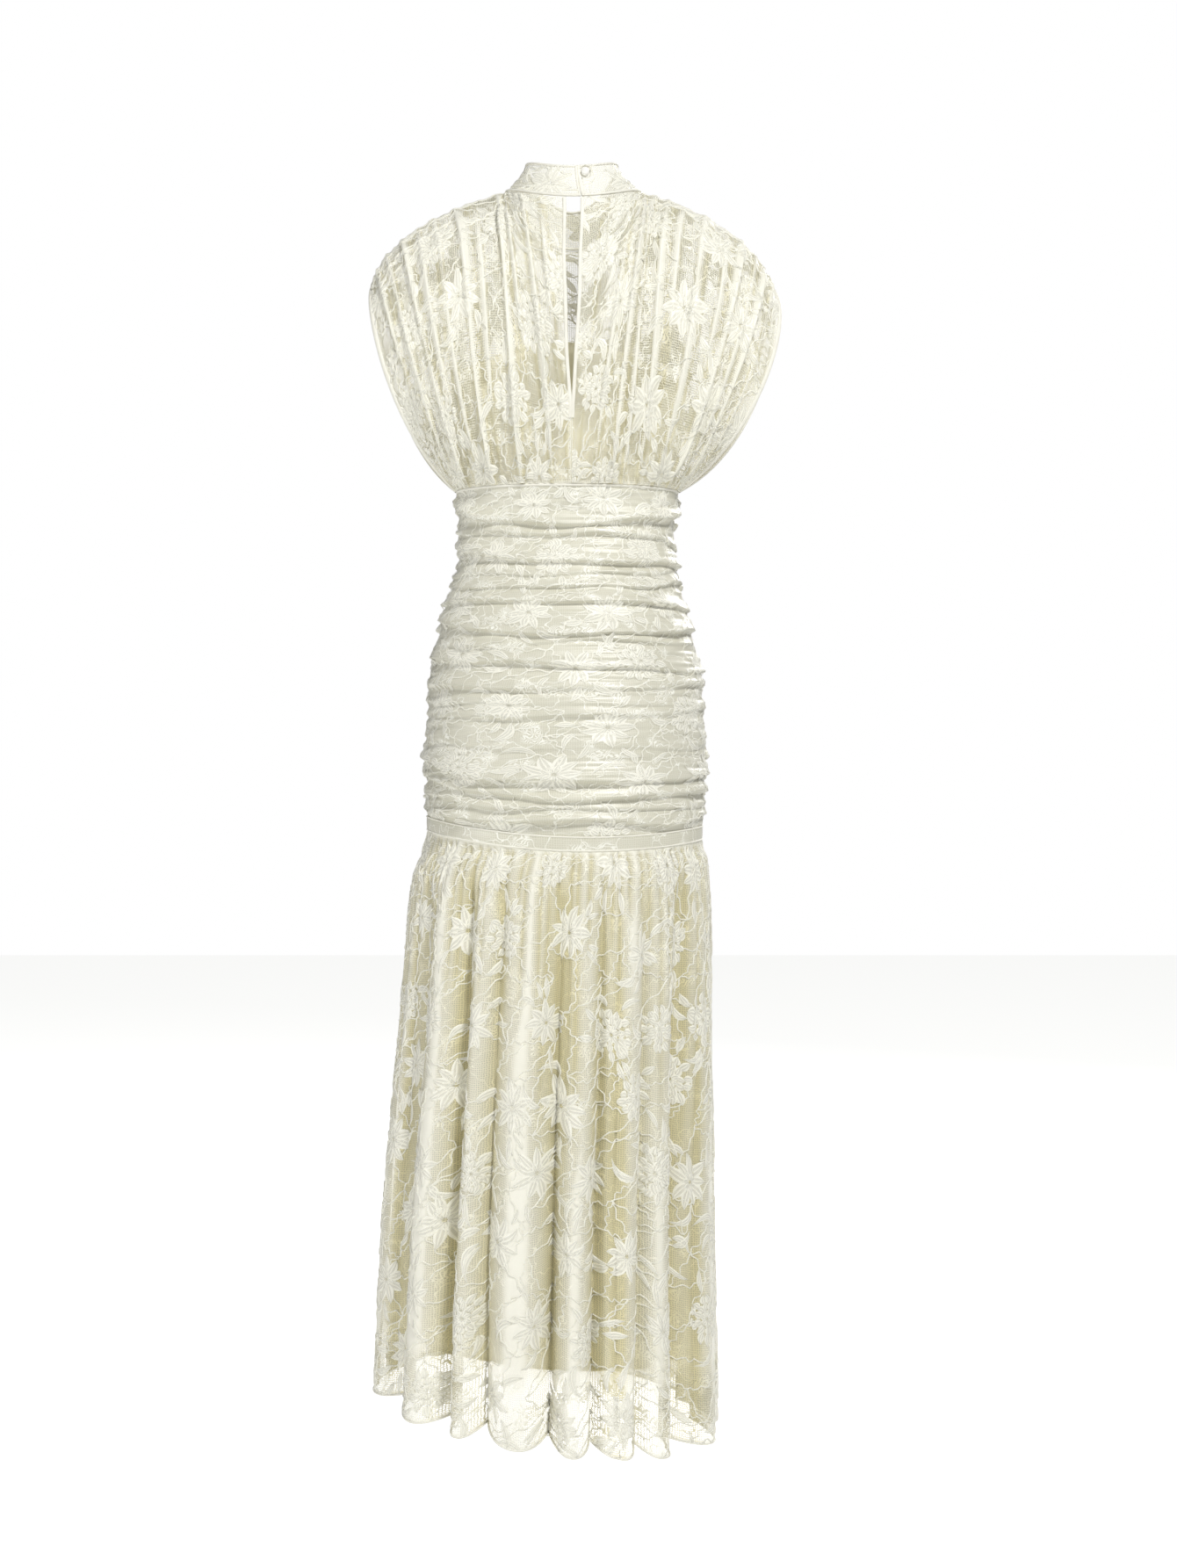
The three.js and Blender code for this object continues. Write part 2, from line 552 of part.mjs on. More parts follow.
const BODICE_LINING_ROWS = [0, 0.25, 0.5, 0.75, 0.92, 1];
const SKIRT_LINING_ROWS = [0, 0.02, 0.06, 0.16, 0.4, 0.7, 1];

// ---------------------------------------------------------------- the dress

const cloth = (color, roughness) => new THREE.MeshStandardMaterial({ color, roughness, metalness: 0 });
const lace = cloth('#e4dcc9', 0.85);
const ruchedLace = cloth('#e2d6bb', 0.75);
const liningCloth = cloth('#e0d2b2', 0.6);
const edging = cloth('#f0ebdf', 0.7);
const buttonWhite = new THREE.MeshStandardMaterial({ color: '#f3f1ec', roughness: 0.3, metalness: 0 });

const dress = new THREE.Group();
dress.name = 'fishtail_evening_dress';

function add(name, geometry, material) {
  const mesh = new THREE.Mesh(geometry, material.clone());
  mesh.name = name;
  dress.add(mesh);
}

add('collar', collar(), lace);
add('collar_button', button(), buttonWhite);
add('button_loop', buttonLoop(), edging);
add('front_bodice', frontBodice(), lace);
for (const [name, side] of [['left', LEFT], ['right', RIGHT]]) {
  add(`back_bodice_${name}`, backBodice(side), lace);
  add(`placket_${name}`, placket(side), edging);
  add(`armhole_binding_${name}`, armholeBinding(side), edging);
}
for (const [name, face] of [['back', BACK], ['front', FRONT]]) {
  add(`ruched_${name}`, ruched(face), ruchedLace);
  add(`hip_band_${name}`, hipBand(face), ruchedLace);
  add(`lace_skirt_${name}`, laceSkirt(face), lace);
  add(`bodice_lining_${name}`, lining(bodiceLiningSurface, face, BODICE_LINING_ROWS), liningCloth);
  add(`skirt_lining_${name}`, lining(skirtLiningSurface, face, SKIRT_LINING_ROWS), liningCloth);
}

export default dress;
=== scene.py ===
"""Fishtail evening dress in lace: the visual model, laid out as an add-on.

Every panel is a surface of two parameters, worked out with numpy in millimetres on the wearer's
axes: the front faces -Y, the wearer's left is +X, a drop is a distance below the origin, and a turn
is an angle round the wearer, 0 at the left side and a quarter turn at the centre back.
"""

import bpy
import numpy as np
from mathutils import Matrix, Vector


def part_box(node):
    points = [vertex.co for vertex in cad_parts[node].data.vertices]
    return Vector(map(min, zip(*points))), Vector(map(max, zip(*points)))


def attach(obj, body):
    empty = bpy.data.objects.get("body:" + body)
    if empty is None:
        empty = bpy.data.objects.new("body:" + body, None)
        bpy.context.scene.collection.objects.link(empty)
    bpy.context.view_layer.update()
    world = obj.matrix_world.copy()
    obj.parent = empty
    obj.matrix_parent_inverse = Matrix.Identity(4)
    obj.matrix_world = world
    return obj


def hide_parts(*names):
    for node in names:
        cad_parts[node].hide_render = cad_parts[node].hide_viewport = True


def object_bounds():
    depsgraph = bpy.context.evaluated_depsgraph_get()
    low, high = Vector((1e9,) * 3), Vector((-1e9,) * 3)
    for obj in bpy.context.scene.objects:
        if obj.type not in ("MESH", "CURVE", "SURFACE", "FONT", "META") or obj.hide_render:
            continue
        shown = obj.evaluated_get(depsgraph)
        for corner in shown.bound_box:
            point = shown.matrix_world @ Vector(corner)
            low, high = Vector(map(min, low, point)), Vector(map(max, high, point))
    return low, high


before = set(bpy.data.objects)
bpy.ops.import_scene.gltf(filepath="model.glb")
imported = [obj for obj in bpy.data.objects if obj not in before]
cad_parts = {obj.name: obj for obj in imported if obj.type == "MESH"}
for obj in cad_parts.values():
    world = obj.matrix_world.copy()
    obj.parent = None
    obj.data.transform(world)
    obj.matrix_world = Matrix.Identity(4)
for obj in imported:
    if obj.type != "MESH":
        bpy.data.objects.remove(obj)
CAD_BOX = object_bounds()

bl_info = {
    "name": "Fishtail Evening Dress",
    "version": (1, 0, 0),
    "blender": (4, 5, 0),
    "location": "View3D > Sidebar > Dress",
    "description": "Builds a lace evening dress with a ruched hip and a flared skirt",
    "category": "Add Mesh",
}

MM = 0.001
LEFT, RIGHT, BACK, FRONT = 1, -1, 1, -1
QUARTER = np.pi / 2
SIDES = {"left": LEFT, "right": RIGHT}
FACES = {"back": BACK, "front": FRONT}

# ---------------------------------------------------------------- sizes shared with the frame
# Lengths are in millimetres.

SQUARENESS = 2.15  # power of each level ring, where 2 is a plain ellipse
WAIST_DROP = 328.0  # the waist seam
WAIST_EASE = 1.6  # how far the bodice stands out at that seam
BAND_HEIGHT = 16.0
SEAM_GAP = 0.3  # left between panels that meet
NECK_GAP = 0.7  # left between the collar and the bodice
NECK_SHARE = 0.35  # share of a panel's upper edge that lies under the collar
CAP_X, CAP_Z = 224.0, -96.0  # the outer end of a shoulder
CAP_SLOPE = 0.35  # share of the shoulder's fall that comes early
CAP_OUT = {LEFT: -3.0, RIGHT: 15.0}  # how much further out each armhole stands
KEYHOLE_LENGTH, KEYHOLE_HALF = 0.73, 8.0  # share of the bodice's length, and half its width
KEYHOLE_ROUNDING = 2.4  # power of its sides
CENTRE_X = -3.0  # where the centre back lies
HEM_LIFT = 14.0  # how much higher the hem hangs deep in a fold
CLOSURE = np.radians(97.0)  # the turn at which the collar closes


def table(columns, *rows):
    """Named columns of a short table of numbers."""
    return dict(zip(columns.split(), np.array(rows, float).T))


COLLAR_BASE = dict(halfWidth=78, centreX=-5, back=62, front=76, sideZ=12, backZ=-6, frontZ=-35)
COLLAR_TOP = dict(halfWidth=52, centreX=-3, back=50, front=59, sideZ=44, backZ=31, frontZ=6)

FIGURE = table(
    "drop halfWidth centreX back front",
    (120, 139, -2, 86, 102), (200, 138, 0, 87, 108), (260, 134, 1, 84, 105), (328, 125, 2, 79, 96),
    (375, 121, 3, 74, 89), (410, 122.5, 3, 78, 88), (450, 132, 4, 91, 93), (490, 142.5, 4, 105, 98),
    (530, 151, 4, 116, 103), (590, 156.5, 4, 125, 107), (650, 157, 4.5, 125, 106),
    (735, 155, 5, 115, 103),
)
SKIRT = table(
    "drop halfWidth centreX back front",
    (735, 155, 5, 115, 103), (768, 164, 9, 125, 113), (848, 171, 12, 139, 126),
    (1008, 181, 18, 158, 144), (1168, 188, 23, 173, 158), (1328, 193, 26, 184, 169),
    (1410, 195, 27, 188, 173),
)
SKIRT_LINING = table(
    "drop halfWidth centreX back front",
    (735, 155, 5, 115, 103), (768, 158, 9, 119, 107), (848, 157, 12, 122, 109),
    (1008, 156, 18, 129, 115), (1168, 157, 23, 139, 124), (1310, 159, 25, 148, 132),
)
# Large folds of the skirt, in degrees, and how far in each valley lies at the hem.
FOLDS = table(
    "crest valley depth",
    (12, 31, 22), (44, 55, 30), (62, 68.5, 24), (81, 92, 32), (99, 107, 20), (116, 123, 16),
    (130, 142, 30), (160, 173, 22), (189, 201, 28), (213, 224, 22), (234, 243, 28), (254, 263, 20),
    (273, 283, 30), (293, 302, 22), (312, 323, 28), (336, 353, 24),
)
LINE_COLUMNS = "across outA depthA dropA outB depthB dropB"
LINES = {
    BACK: table(
        LINE_COLUMNS,
        (-0.35, -82, 66, 0, -84, 122, 215), (0, 0, 86, 92, 0, 114, 228),
        (0.35, 82, 66, 0, 84, 122, 215), (0.67, 172, 78, 30, 158, 118, 236),
        (1, 238, 60, 104, 214, 96, 262),
    ),
    FRONT: table(
        LINE_COLUMNS,
        (-0.35, -84, 68, 8, -92, 186, 214), (0, 0, 96, 110, 0, 150, 232),
        (0.35, 84, 68, 8, 92, 186, 214), (0.67, 172, 76, 30, 166, 142, 234),
        (1, 238, 60, 104, 214, 96, 262),
    ),
}

# ---------------------------------------------------------------- creases listed one by one

# Pleats of a bodice half: where each leaves the neck or shoulder and meets the waist, as shares
# across, its height and half width in millimetres, and where it fades, as shares down.
PLEAT_COLUMNS = "top waist height width fade"
PLEATS = {
    (BACK, LEFT): table(
        PLEAT_COLUMNS,
        (0.10, 0.03, 2.2, 3.0, 0.9), (0.17, 0.10, 4.2, 3.4, 1.4), (0.29, 0.19, 3.0, 2.8, 0.75),
        (0.37, 0.26, 4.6, 3.6, 1.4), (0.46, 0.36, 3.2, 3.0, 1.0), (0.53, 0.43, 4.2, 3.4, 1.4),
        (0.60, 0.51, 3.0, 2.8, 1.4), (0.66, 0.58, 4.0, 3.2, 0.9), (0.73, 0.66, 3.4, 3.0, 1.4),
        (0.80, 0.76, 3.6, 3.2, 1.4), (0.88, 0.86, 2.4, 3.0, 0.8),
    ),
    (BACK, RIGHT): table(
        PLEAT_COLUMNS,
        (0.11, 0.05, 2.0, 2.8, 0.6), (0.24, 0.13, 3.0, 3.0, 1.4), (0.33, 0.22, 4.6, 3.6, 1.4),
        (0.39, 0.29, 3.2, 2.8, 1.4), (0.44, 0.37, 4.4, 3.4, 1.4), (0.51, 0.43, 3.0, 3.0, 0.8),
        (0.58, 0.50, 4.0, 3.4, 1.4), (0.67, 0.60, 2.8, 2.8, 0.8), (0.74, 0.67, 4.4, 3.6, 1.4),
        (0.80, 0.74, 3.2, 3.0, 1.4), (0.86, 0.82, 4.2, 3.4, 1.4), (0.91, 0.90, 2.6, 2.8, 1.0),
    ),
    (FRONT, LEFT): table(
        PLEAT_COLUMNS,
        (0.08, 0.04, 3.0, 3.2, 1.4), (0.19, 0.13, 3.8, 3.4, 1.4), (0.28, 0.22, 2.8, 3.0, 0.9),
        (0.38, 0.31, 4.4, 3.6, 1.4), (0.47, 0.40, 3.2, 3.0, 1.4), (0.57, 0.50, 4.2, 3.4, 1.4),
        (0.68, 0.62, 3.4, 3.0, 0.9), (0.78, 0.73, 4.0, 3.4, 1.4), (0.89, 0.86, 2.6, 3.0, 1.0),
    ),
    (FRONT, RIGHT): table(
        PLEAT_COLUMNS,
        (0.12, 0.07, 3.6, 3.4, 1.4), (0.22, 0.16, 2.8, 3.0, 1.0), (0.31, 0.25, 4.2, 3.6, 1.4),
        (0.41, 0.34, 3.2, 3.0, 1.4), (0.51, 0.44, 4.4, 3.4, 1.4), (0.62, 0.56, 3.0, 3.0, 0.8),
        (0.72, 0.67, 4.2, 3.4, 1.4), (0.83, 0.79, 3.4, 3.2, 1.4), (0.92, 0.90, 2.4, 2.8, 1.0),
    ),
}

# The side on which each pleat in turn stands steep.
STEEP = (LEFT, RIGHT, RIGHT, LEFT, RIGHT)

# Creases across the ruched section: drop at the left side, the middle and the right side, height and
# how far it fades in above and below, in millimetres, and its strength at each side.
CREASE_COLUMNS = "left middle right height above below atLeft atRight"
CREASES = {
    BACK: table(
        CREASE_COLUMNS,
        (344, 372, 351, 4.2, 12, 4.5, 1, 1), (374, 383, 389, 2.6, 7, 4, 1, 0.9),
        (392, 414, 410, 4.4, 13, 5, 0.9, 1), (424, 429, 418, 2.4, 8, 4, 1, 0.2),
        (436, 443, 432, 2.8, 8, 4, 0.7, 1), (456, 458, 466, 4.0, 10, 4.5, 1, 1),
        (475, 494, 484, 4.4, 14, 5, 1, 0.9), (508, 505, 500, 2.2, 8, 4, 1, 0),
        (517, 528, 536, 3.6, 12, 5, 1, 1), (549, 558, 546, 3.0, 12, 5.5, 1, 1),
        (566, 574, 580, 1.8, 9, 5, 1, 0), (590, 586, 573, 2.0, 10, 5, 0, 1),
        (604, 622, 612, 1.5, 14, 7, 0.8, 0.9), (626, 658, 645, 4.2, 15, 5, 1, 1),
        (644, 674, 670, 3.8, 9, 4.5, 1, 1), (668, 688, 682, 2.6, 8, 4, 1, 0.9),
        (686, 703, 697, 3.4, 9, 4, 0.9, 1),
    ),
    FRONT: table(
        CREASE_COLUMNS,
        (350, 360, 345, 3.6, 11, 4.5, 1, 1), (372, 381, 368, 3.0, 9, 4.5, 0.8, 1),
        (394, 404, 391, 3.8, 12, 5, 1, 1), (414, 420, 423, 2.6, 8, 4, 1, 0.8),
        (437, 448, 436, 4.0, 13, 5, 1, 1), (462, 468, 459, 2.8, 9, 4.5, 0.6, 1),
        (483, 496, 477, 3.8, 13, 5, 1, 1), (505, 514, 511, 2.4, 9, 4.5, 1, 0.4),
        (527, 541, 524, 3.4, 12, 5, 1, 1), (556, 561, 552, 2.2, 10, 5, 0.9, 1),
        (580, 590, 571, 2.4, 12, 5.5, 0.6, 1), (605, 617, 603, 3.0, 13, 5, 1, 1),
        (632, 640, 629, 3.6, 12, 5, 1, 1), (652, 662, 650, 3.0, 10, 4.5, 1, 0.9),
        (674, 683, 670, 3.4, 9, 4.5, 1, 1),
    ),
}

# ---------------------------------------------------------------- shared sums


def smooth(low, high, x):
    """0 below low, 1 above high, and a rounded step between them."""
    f = np.clip((x - low) / (high - low), 0, 1)
    return f * f * (3 - 2 * f)


def mix(a, b, f):
    """a where f is 0, b where it is 1, and in proportion between them."""
    return a + (b - a) * f


def ridge(offset):
    """A rounded ridge along a line, 1 on it: exp(-|offset| to the power 1.6)."""
    return np.exp(-(np.abs(offset) ** 1.6))


def rows_at(rows, key, at):
    """Every column of a table at given values of its key, on a smooth cubic curve through the rows."""
    keys = rows[key]
    last = len(keys) - 1
    i = np.clip(np.searchsorted(keys, at, side="left") - 1, 0, last - 1)
    before, after = np.maximum(i - 1, 0), np.minimum(i + 2, last)
    span = keys[i + 1] - keys[i]
    f = np.clip((at - keys[i]) / span, 0, 1)
    found = {}
    for name, column in rows.items():
        leaving = (column[i + 1] - column[before]) / (keys[i + 1] - keys[before]) * span
        arriving = (column[after] - column[i]) / (keys[after] - keys[i]) * span
        found[name] = (
            column[i] * (2 * f**3 - 3 * f**2 + 1)
            + leaving * (f**3 - 2 * f**2 + f)
            + column[i + 1] * (3 * f**2 - 2 * f**3)
            + arriving * (f**3 - f**2)
        )
    return found


def ring_at(drop, below=SKIRT):
    """The level ring at a drop: the figure above the hip band, the given skirt table below it."""
    upper, lower = rows_at(FIGURE, "drop", drop), rows_at(below, "drop", drop)
    ring = {name: np.where(drop < below["drop"][0], upper[name], lower[name]) for name in upper}
    return ring | {"drop": drop}


def ring_point(ring, turn, out):
    """A point on a ring, moved out: an ellipse squared off a little, deeper behind than in front."""
    c, s = np.cos(turn), np.sin(turn)
    reach = (np.abs(c) ** SQUARENESS + np.abs(s) ** SQUARENESS) ** (-1 / SQUARENESS)
    depth = np.where(s > 0, ring["back"], ring["front"])
    x = ring["centreX"] + (ring["halfWidth"] + out) * c * reach
    return np.stack([x, (depth + out) * s * reach, 0 * x - ring["drop"]], -1)


def unit(vectors):
    """Each vector divided by its length."""
    return vectors / np.maximum(np.linalg.norm(vectors, axis=-1, keepdims=True), 1e-9)


def wobble(x, y, seed, size):
    """Slow unevenness between -1 and 1: a sum of sine waves in odd directions, about size apart."""
    total = 0
    for k in range(5):
        angle = seed * 1.7 + k * 2.4
        wave = 2 * np.pi / size * (0.7 + 0.23 * k)
        total = total + np.sin((x * np.cos(angle) + y * np.sin(angle)) * wave + seed * 3.1 + k)
    return total / 5


# ---------------------------------------------------------------- surfaces of the dress


def collar_edge(edge, turn):
    """An ellipse round the neck, with its height blended from the side to the middle by the squares of
    the turn's cosine and sine."""
    c, s = np.cos(turn), np.sin(turn)
    z = edge["sideZ"] * c * c + np.where(s > 0, edge["backZ"], edge["frontZ"]) * s * s
    y = np.where(s > 0, edge["back"], edge["front"]) * s
    return np.stack([edge["centreX"] + edge["halfWidth"] * c, y, z], -1)


def collar_surface(turn, down):
    """Between the collar's two edges, hollowed a little on the way down, with a few soft rucks."""
    top, base = collar_edge(COLLAR_TOP, turn), collar_edge(COLLAR_BASE, turn)
    point = mix(top, base, (down**1.5)[..., None])
    point[..., 2] = mix(top[..., 2], base[..., 2], down)
    rucks = np.sin(np.pi * np.clip(down, 0, 1)) * wobble(turn * 60, down * 40, 3, 34) * 1.2
    out = np.stack([np.cos(turn), np.sin(turn), 0 * turn], -1)
    return point + out * rucks[..., None]


def side_of(face, u):
    """The wearer's side that a place on a bodice lies on, from the sign of u."""
    return np.where(u < 0, face, -face)


def round_wearer(side, face, turn):
    """The turn round the wearer of a place that lies a given turn from the side seam."""
    return np.where(side == LEFT, face * turn, np.pi - face * turn)


def upper_edge(side, face, across):
    """Round under the collar to the side of the neck, then out along the shoulder to the cap's end."""
    swing = QUARTER * np.clip(1 - across / NECK_SHARE, 0, 1)
    neck = collar_edge(COLLAR_BASE, round_wearer(side, face, swing))
    neck[..., 2] -= NECK_GAP
    out = QUARTER * np.clip((across - NECK_SHARE) / (1 - NECK_SHARE), 0, 1)
    fall = CAP_SLOPE * np.sin(out) + (1 - CAP_SLOPE) * (1 - np.cos(out))
    x = mix(neck[..., 0], side * CAP_X, np.sin(out))
    shoulder = np.stack([x, 0 * x, mix(neck[..., 2], CAP_Z, fall)], -1)
    return np.where((across < NECK_SHARE)[..., None], neck, shoulder)


def bodice_form(face, u, down):
    """Cubic curves from the upper edge down to the waist seam; u is 0 at the centre, and 1 or -1 at an
    armhole."""
    side = side_of(face, u)
    across = np.abs(u)
    line = rows_at(LINES[face], "across", across)
    start = upper_edge(side, face, across)
    turn = round_wearer(side, face, QUARTER * (1 - across))
    end = ring_point(ring_at(0 * u + WAIST_DROP), turn, WAIST_EASE)
    end[..., 0] += (CENTRE_X - 2) * (1 - across) ** 2
    cap_out = np.where(side == LEFT, CAP_OUT[LEFT], CAP_OUT[RIGHT]) * across**3
    guides = [
        np.stack([side * (line["out" + k] + cap_out) + shift, face * line["depth" + k], -line["drop" + k]], -1)
        for k, shift in (("A", -4), ("B", -3))
    ]
    t = down[..., None]
    upper = start * (1 - t) ** 3 + guides[0] * 3 * (1 - t) ** 2 * t
    return upper + guides[1] * 3 * (1 - t) * t**2 + end * t**3


PLEAT_SPREAD = 245 / 1.15  # turns a share across into a distance in millimetres, a little narrowed
PLEAT_LIFT = 1.45


def pleat_height(face, u, down):
    """Narrow rounded ridges from the shoulder to the waist, each fading where its table says. One side
    of each is steep: its offset counts 2.2 times, and the other side's 0.6 times."""
    total = 0 * u
    across = np.abs(u)
    for side in (LEFT, RIGHT):
        pleats = PLEATS[face, side]
        here = side_of(face, u) == side
        for k in range(len(pleats["top"])):
            top, waist, height, width, fade = (pleats[name][k] for name in PLEAT_COLUMNS.split())
            centre = mix(top, waist, down**1.2) + 0.011 * np.sin(5 * down + 7 * k)
            offset = (across - centre) * PLEAT_SPREAD / (width * mix(1.0, 0.6, smooth(0.7, 1, down)))
            offset = np.where(offset * STEEP[k % len(STEEP)] > 0, offset * 2.2, offset * 0.6)
            swell = 1 + 0.35 * np.sin(9 * down + 2.3 * k)
            strength = 0.3 + 0.7 * smooth(0.02, 0.25, down)
            strength = strength * (1 - 0.8 * smooth(fade - 0.35, fade, down))
            total = np.where(here, np.maximum(total, height * swell * strength * ridge(offset)), total)
    seams = smooth(0, 0.03, down) * (1 - 0.55 * smooth(0.9, 1, down))
    return PLEAT_LIFT * total * seams * smooth(0.0, 0.03, 1 - across)


def keyhole_half(down):
    """Half the keyhole's width: full at the collar, less a power of the way down."""
    return KEYHOLE_HALF * (1 - np.clip(down / KEYHOLE_LENGTH, 0, 1) ** KEYHOLE_ROUNDING)


HALF_ACROSS, HALF_DOWN = 300, 330  # half a bodice in millimetres, about, for its uneven patterns


def bodice_surface(face, u, down):
    """The bodice form moved along its normals by its pleats, by sine gathers near the seams and by a
    slow wobble, with the two backs drawn apart at the keyhole."""
    across = np.abs(u)
    step = 1e-3
    step_u, step_v = np.where(u > 0, -step, step), np.where(down > 0.5, -step, step)
    here = bodice_form(face, u, down)
    along = (bodice_form(face, u + step_u, down) - here) * np.sign(step_u)[..., None]
    lower = (bodice_form(face, u, down + step_v) - here) * np.sign(step_v)[..., None]
    normal = unit(np.cross(lower, along))
    normal[..., 2] *= 1 - smooth(0.85, 1, down)
    puckers = 0.9 * np.sin(across * 150 + 2 * wobble(across * HALF_ACROSS, down * 60, 5, 90))
    puckers = puckers * (smooth(0.55, 0.95, down) + 0.7 * (1 - smooth(0.02, 0.2, down)))
    puckers = puckers * smooth(0.03, 0.1, across) * smooth(0, 0.02, down) * smooth(0, 0.05, 1 - across)
    blouse = 1.8 * wobble(across * HALF_ACROSS, down * HALF_DOWN, 2 + face, 150) * np.sin(np.pi * down)
    blouse = blouse * smooth(0, 0.1, 1 - across) * smooth(0, 0.06, across)
    point = here + normal * (pleat_height(face, u, down) + puckers + blouse)[..., None]
    point[..., 2] += SEAM_GAP * smooth(0.9, 1, down)
    if face == BACK:
        point[..., 0] += side_of(face, u) * (keyhole_half(down) + SEAM_GAP / 2) * (1 - across) ** 6
    return point


def band_bottom(turn):
    """The drop of the hip band's lower edge: higher on the left, lower behind."""
    return 717.5 - 5.5 * np.cos(turn) + 15.5 * np.maximum(np.sin(turn), 0) ** 2


def band_top(turn):
    """The drop of its upper edge."""
    return band_bottom(turn) - BAND_HEIGHT


CREASE_LIFT, UNDERCUT = 2.2, 0.5  # how much higher the creases stand, and how much sharper below
TUCK_PITCH, TUCK_REACH = 12, 22  # millimetres between tucks, and how far they run in


def ruched_surface(face, turn, v):
    """Soft folds drawn across from seam to seam: each is a ridge that rises slowly from above and turns
    in sharply below. Small sine tucks run in from the side seams and fade by exp(-distance squared)."""
    drop = mix(WAIST_DROP, band_top(turn) - SEAM_GAP, v)
    c, s = np.cos(turn), np.abs(np.sin(turn))
    height = 0 * turn
    creases = CREASES[face]
    for k in range(len(creases["left"])):
        row = {name: column[k] for name, column in creases.items()}
        end = np.where(c > 0, row["left"], row["right"])
        centre = mix(end, row["middle"], s**1.3) + 6.0 * wobble(turn * 120, 0 * turn, k + face, 150)
        strength = mix(np.where(c > 0, row["atLeft"], row["atRight"]), 1.0, smooth(0.05, 0.75, s))
        strength = strength * (0.8 + 0.35 * wobble(turn * 130, 0 * turn, 3 * k + 1, 140))
        offset = drop - centre
        offset = np.where(offset < 0, offset / row["above"], offset / (UNDERCUT * row["below"]))
        height = np.maximum(height, CREASE_LIFT * row["height"] * strength * ridge(offset))
    near_side = np.exp(-((s * 150 / TUCK_REACH) ** 2))
    tucks = np.sin(2 * np.pi * drop / TUCK_PITCH + wobble(drop, 0 * drop, 4, 60)) * near_side
    fine = 1.5 * wobble(turn * 60, drop * 5, 8 + face, 62)
    fine = fine + wobble(turn * 100, drop * 11, 5 + face, 90)
    height = (height + fine) * smooth(0.0, 0.1, s)
    edge = smooth(0, 3, drop - WAIST_DROP) * smooth(0, 3, band_top(turn) - drop)
    return ring_point(ring_at(drop), turn, (height + tucks) * edge)


def band_surface(turn, v):
    """A flat strip between its two edges, crowned by half a sine wave."""
    drop = mix(band_top(turn), band_bottom(turn), v)
    return ring_point(ring_at(drop), turn, 0.8 + 0.5 * np.sin(np.pi * v))


def fold_at(turn):
    """How far into a fold a turn lies, 0 on a crest and 1 in its sharp valley, to the power 2.2, and
    that valley's depth."""
    degrees = np.degrees(turn)
    first = FOLDS["crest"][0]
    degrees = np.where(degrees < first, degrees + 360, degrees)
    i = np.clip(np.searchsorted(FOLDS["crest"], degrees, side="right") - 1, 0, len(FOLDS["crest"]) - 1)
    following = np.append(FOLDS["crest"][1:], first + 360)[i]
    crest, valley = FOLDS["crest"][i], FOLDS["valley"][i]
    falling, rising = (degrees - crest) / (valley - crest), (degrees - valley) / (following - valley)
    return np.where(degrees < valley, falling, 1 - rising) ** 2.2, FOLDS["depth"][i]


def drifting_fold(turn, v):
    """The fold at a place on the skirt: folds drift sideways between the hip band and the hem, by a
    sine wave."""
    return fold_at(turn + 0.05 * np.sin(3 * v + 5 * turn) * v * (1 - v))


def hem_drop(turn):
    """The hem: longer on the right, and lifted in each fold."""
    return 1364 - 26 * np.cos(turn) + 5 * np.sin(turn) - HEM_LIFT * fold_at(turn)[0]


def lining_hem_drop(turn):
    """The lining's hem, level but for the same lean."""
    return 1290 - 12 * np.cos(turn)


GATHER_COUNT = 92
HIP_RADIUS = 165  # millimetres, about, to turn an angle into a distance


def gathers(turn, v):
    """Sharp grooves that leave the hip band and run out at uneven lengths: the deepest of them at each
    place, each exp(-|distance| / width) across."""
    rng = np.random.default_rng(21)
    deepest = 0 * turn
    for k in range(GATHER_COUNT):
        lean = rng.uniform(-0.06, 0.06)
        centre = 2 * np.pi * (k + rng.uniform(-0.3, 0.3)) / GATHER_COUNT + lean * v
        length = rng.choice([0.14, 0.22, 0.35, 0.6, 1.5])
        depth = rng.uniform(3.0, 4.6)
        width = mix(2.6, 3.2 + 3.0 * (length > 0.5), smooth(0, 0.4, v))
        deeper = 1 + (1.6 if length > 1 else 0.5) * smooth(0.1, 0.6, v)
        distance = np.abs((turn - centre + np.pi) % (2 * np.pi) - np.pi) * HIP_RADIUS
        strength = depth * deeper * (1 - smooth(length * 0.4, length, v))
        deepest = np.maximum(deepest, strength * np.exp(-distance / width))
    return deepest


FOLD_LIFT = 1.45
DEEP_FOLD, DEEP_GATHER = 26, 4.5  # depths in millimetres that count as fully in a fold


def skirt_surface(turn, v):
    """The lace stands out a little below the hip band, then falls in large folds that deepen to the
    hem, with narrow gathers between them."""
    drop = mix(band_bottom(turn) + SEAM_GAP, hem_drop(turn), v)
    share, depth = drifting_fold(turn, v)
    sway = 2.0 * wobble(turn * 160, drop * 0.35, 6, 130) * smooth(0.05, 0.4, v)
    fall = FOLD_LIFT * depth * share * smooth(0, 0.12, v) * v**0.5
    stand = 0.4 + 6.0 * smooth(0, 0.035, v) - 3.0 * smooth(0.1, 0.4, v)
    out = stand - fall - gathers(turn, v) * smooth(0, 0.015, v) + sway
    return ring_point(ring_at(drop), turn, out)


def skirt_fold(turn, v):
    """How deep in a fold or gather the skirt's cloth lies, 0 to 1: the sum of both depths, each as a
    share of a deep one."""
    share, depth = drifting_fold(turn, v)
    large = share * depth / DEEP_FOLD * smooth(0, 0.12, v)
    return np.clip(large + gathers(turn, v) / DEEP_GATHER * smooth(0, 0.01, v), 0, 1)


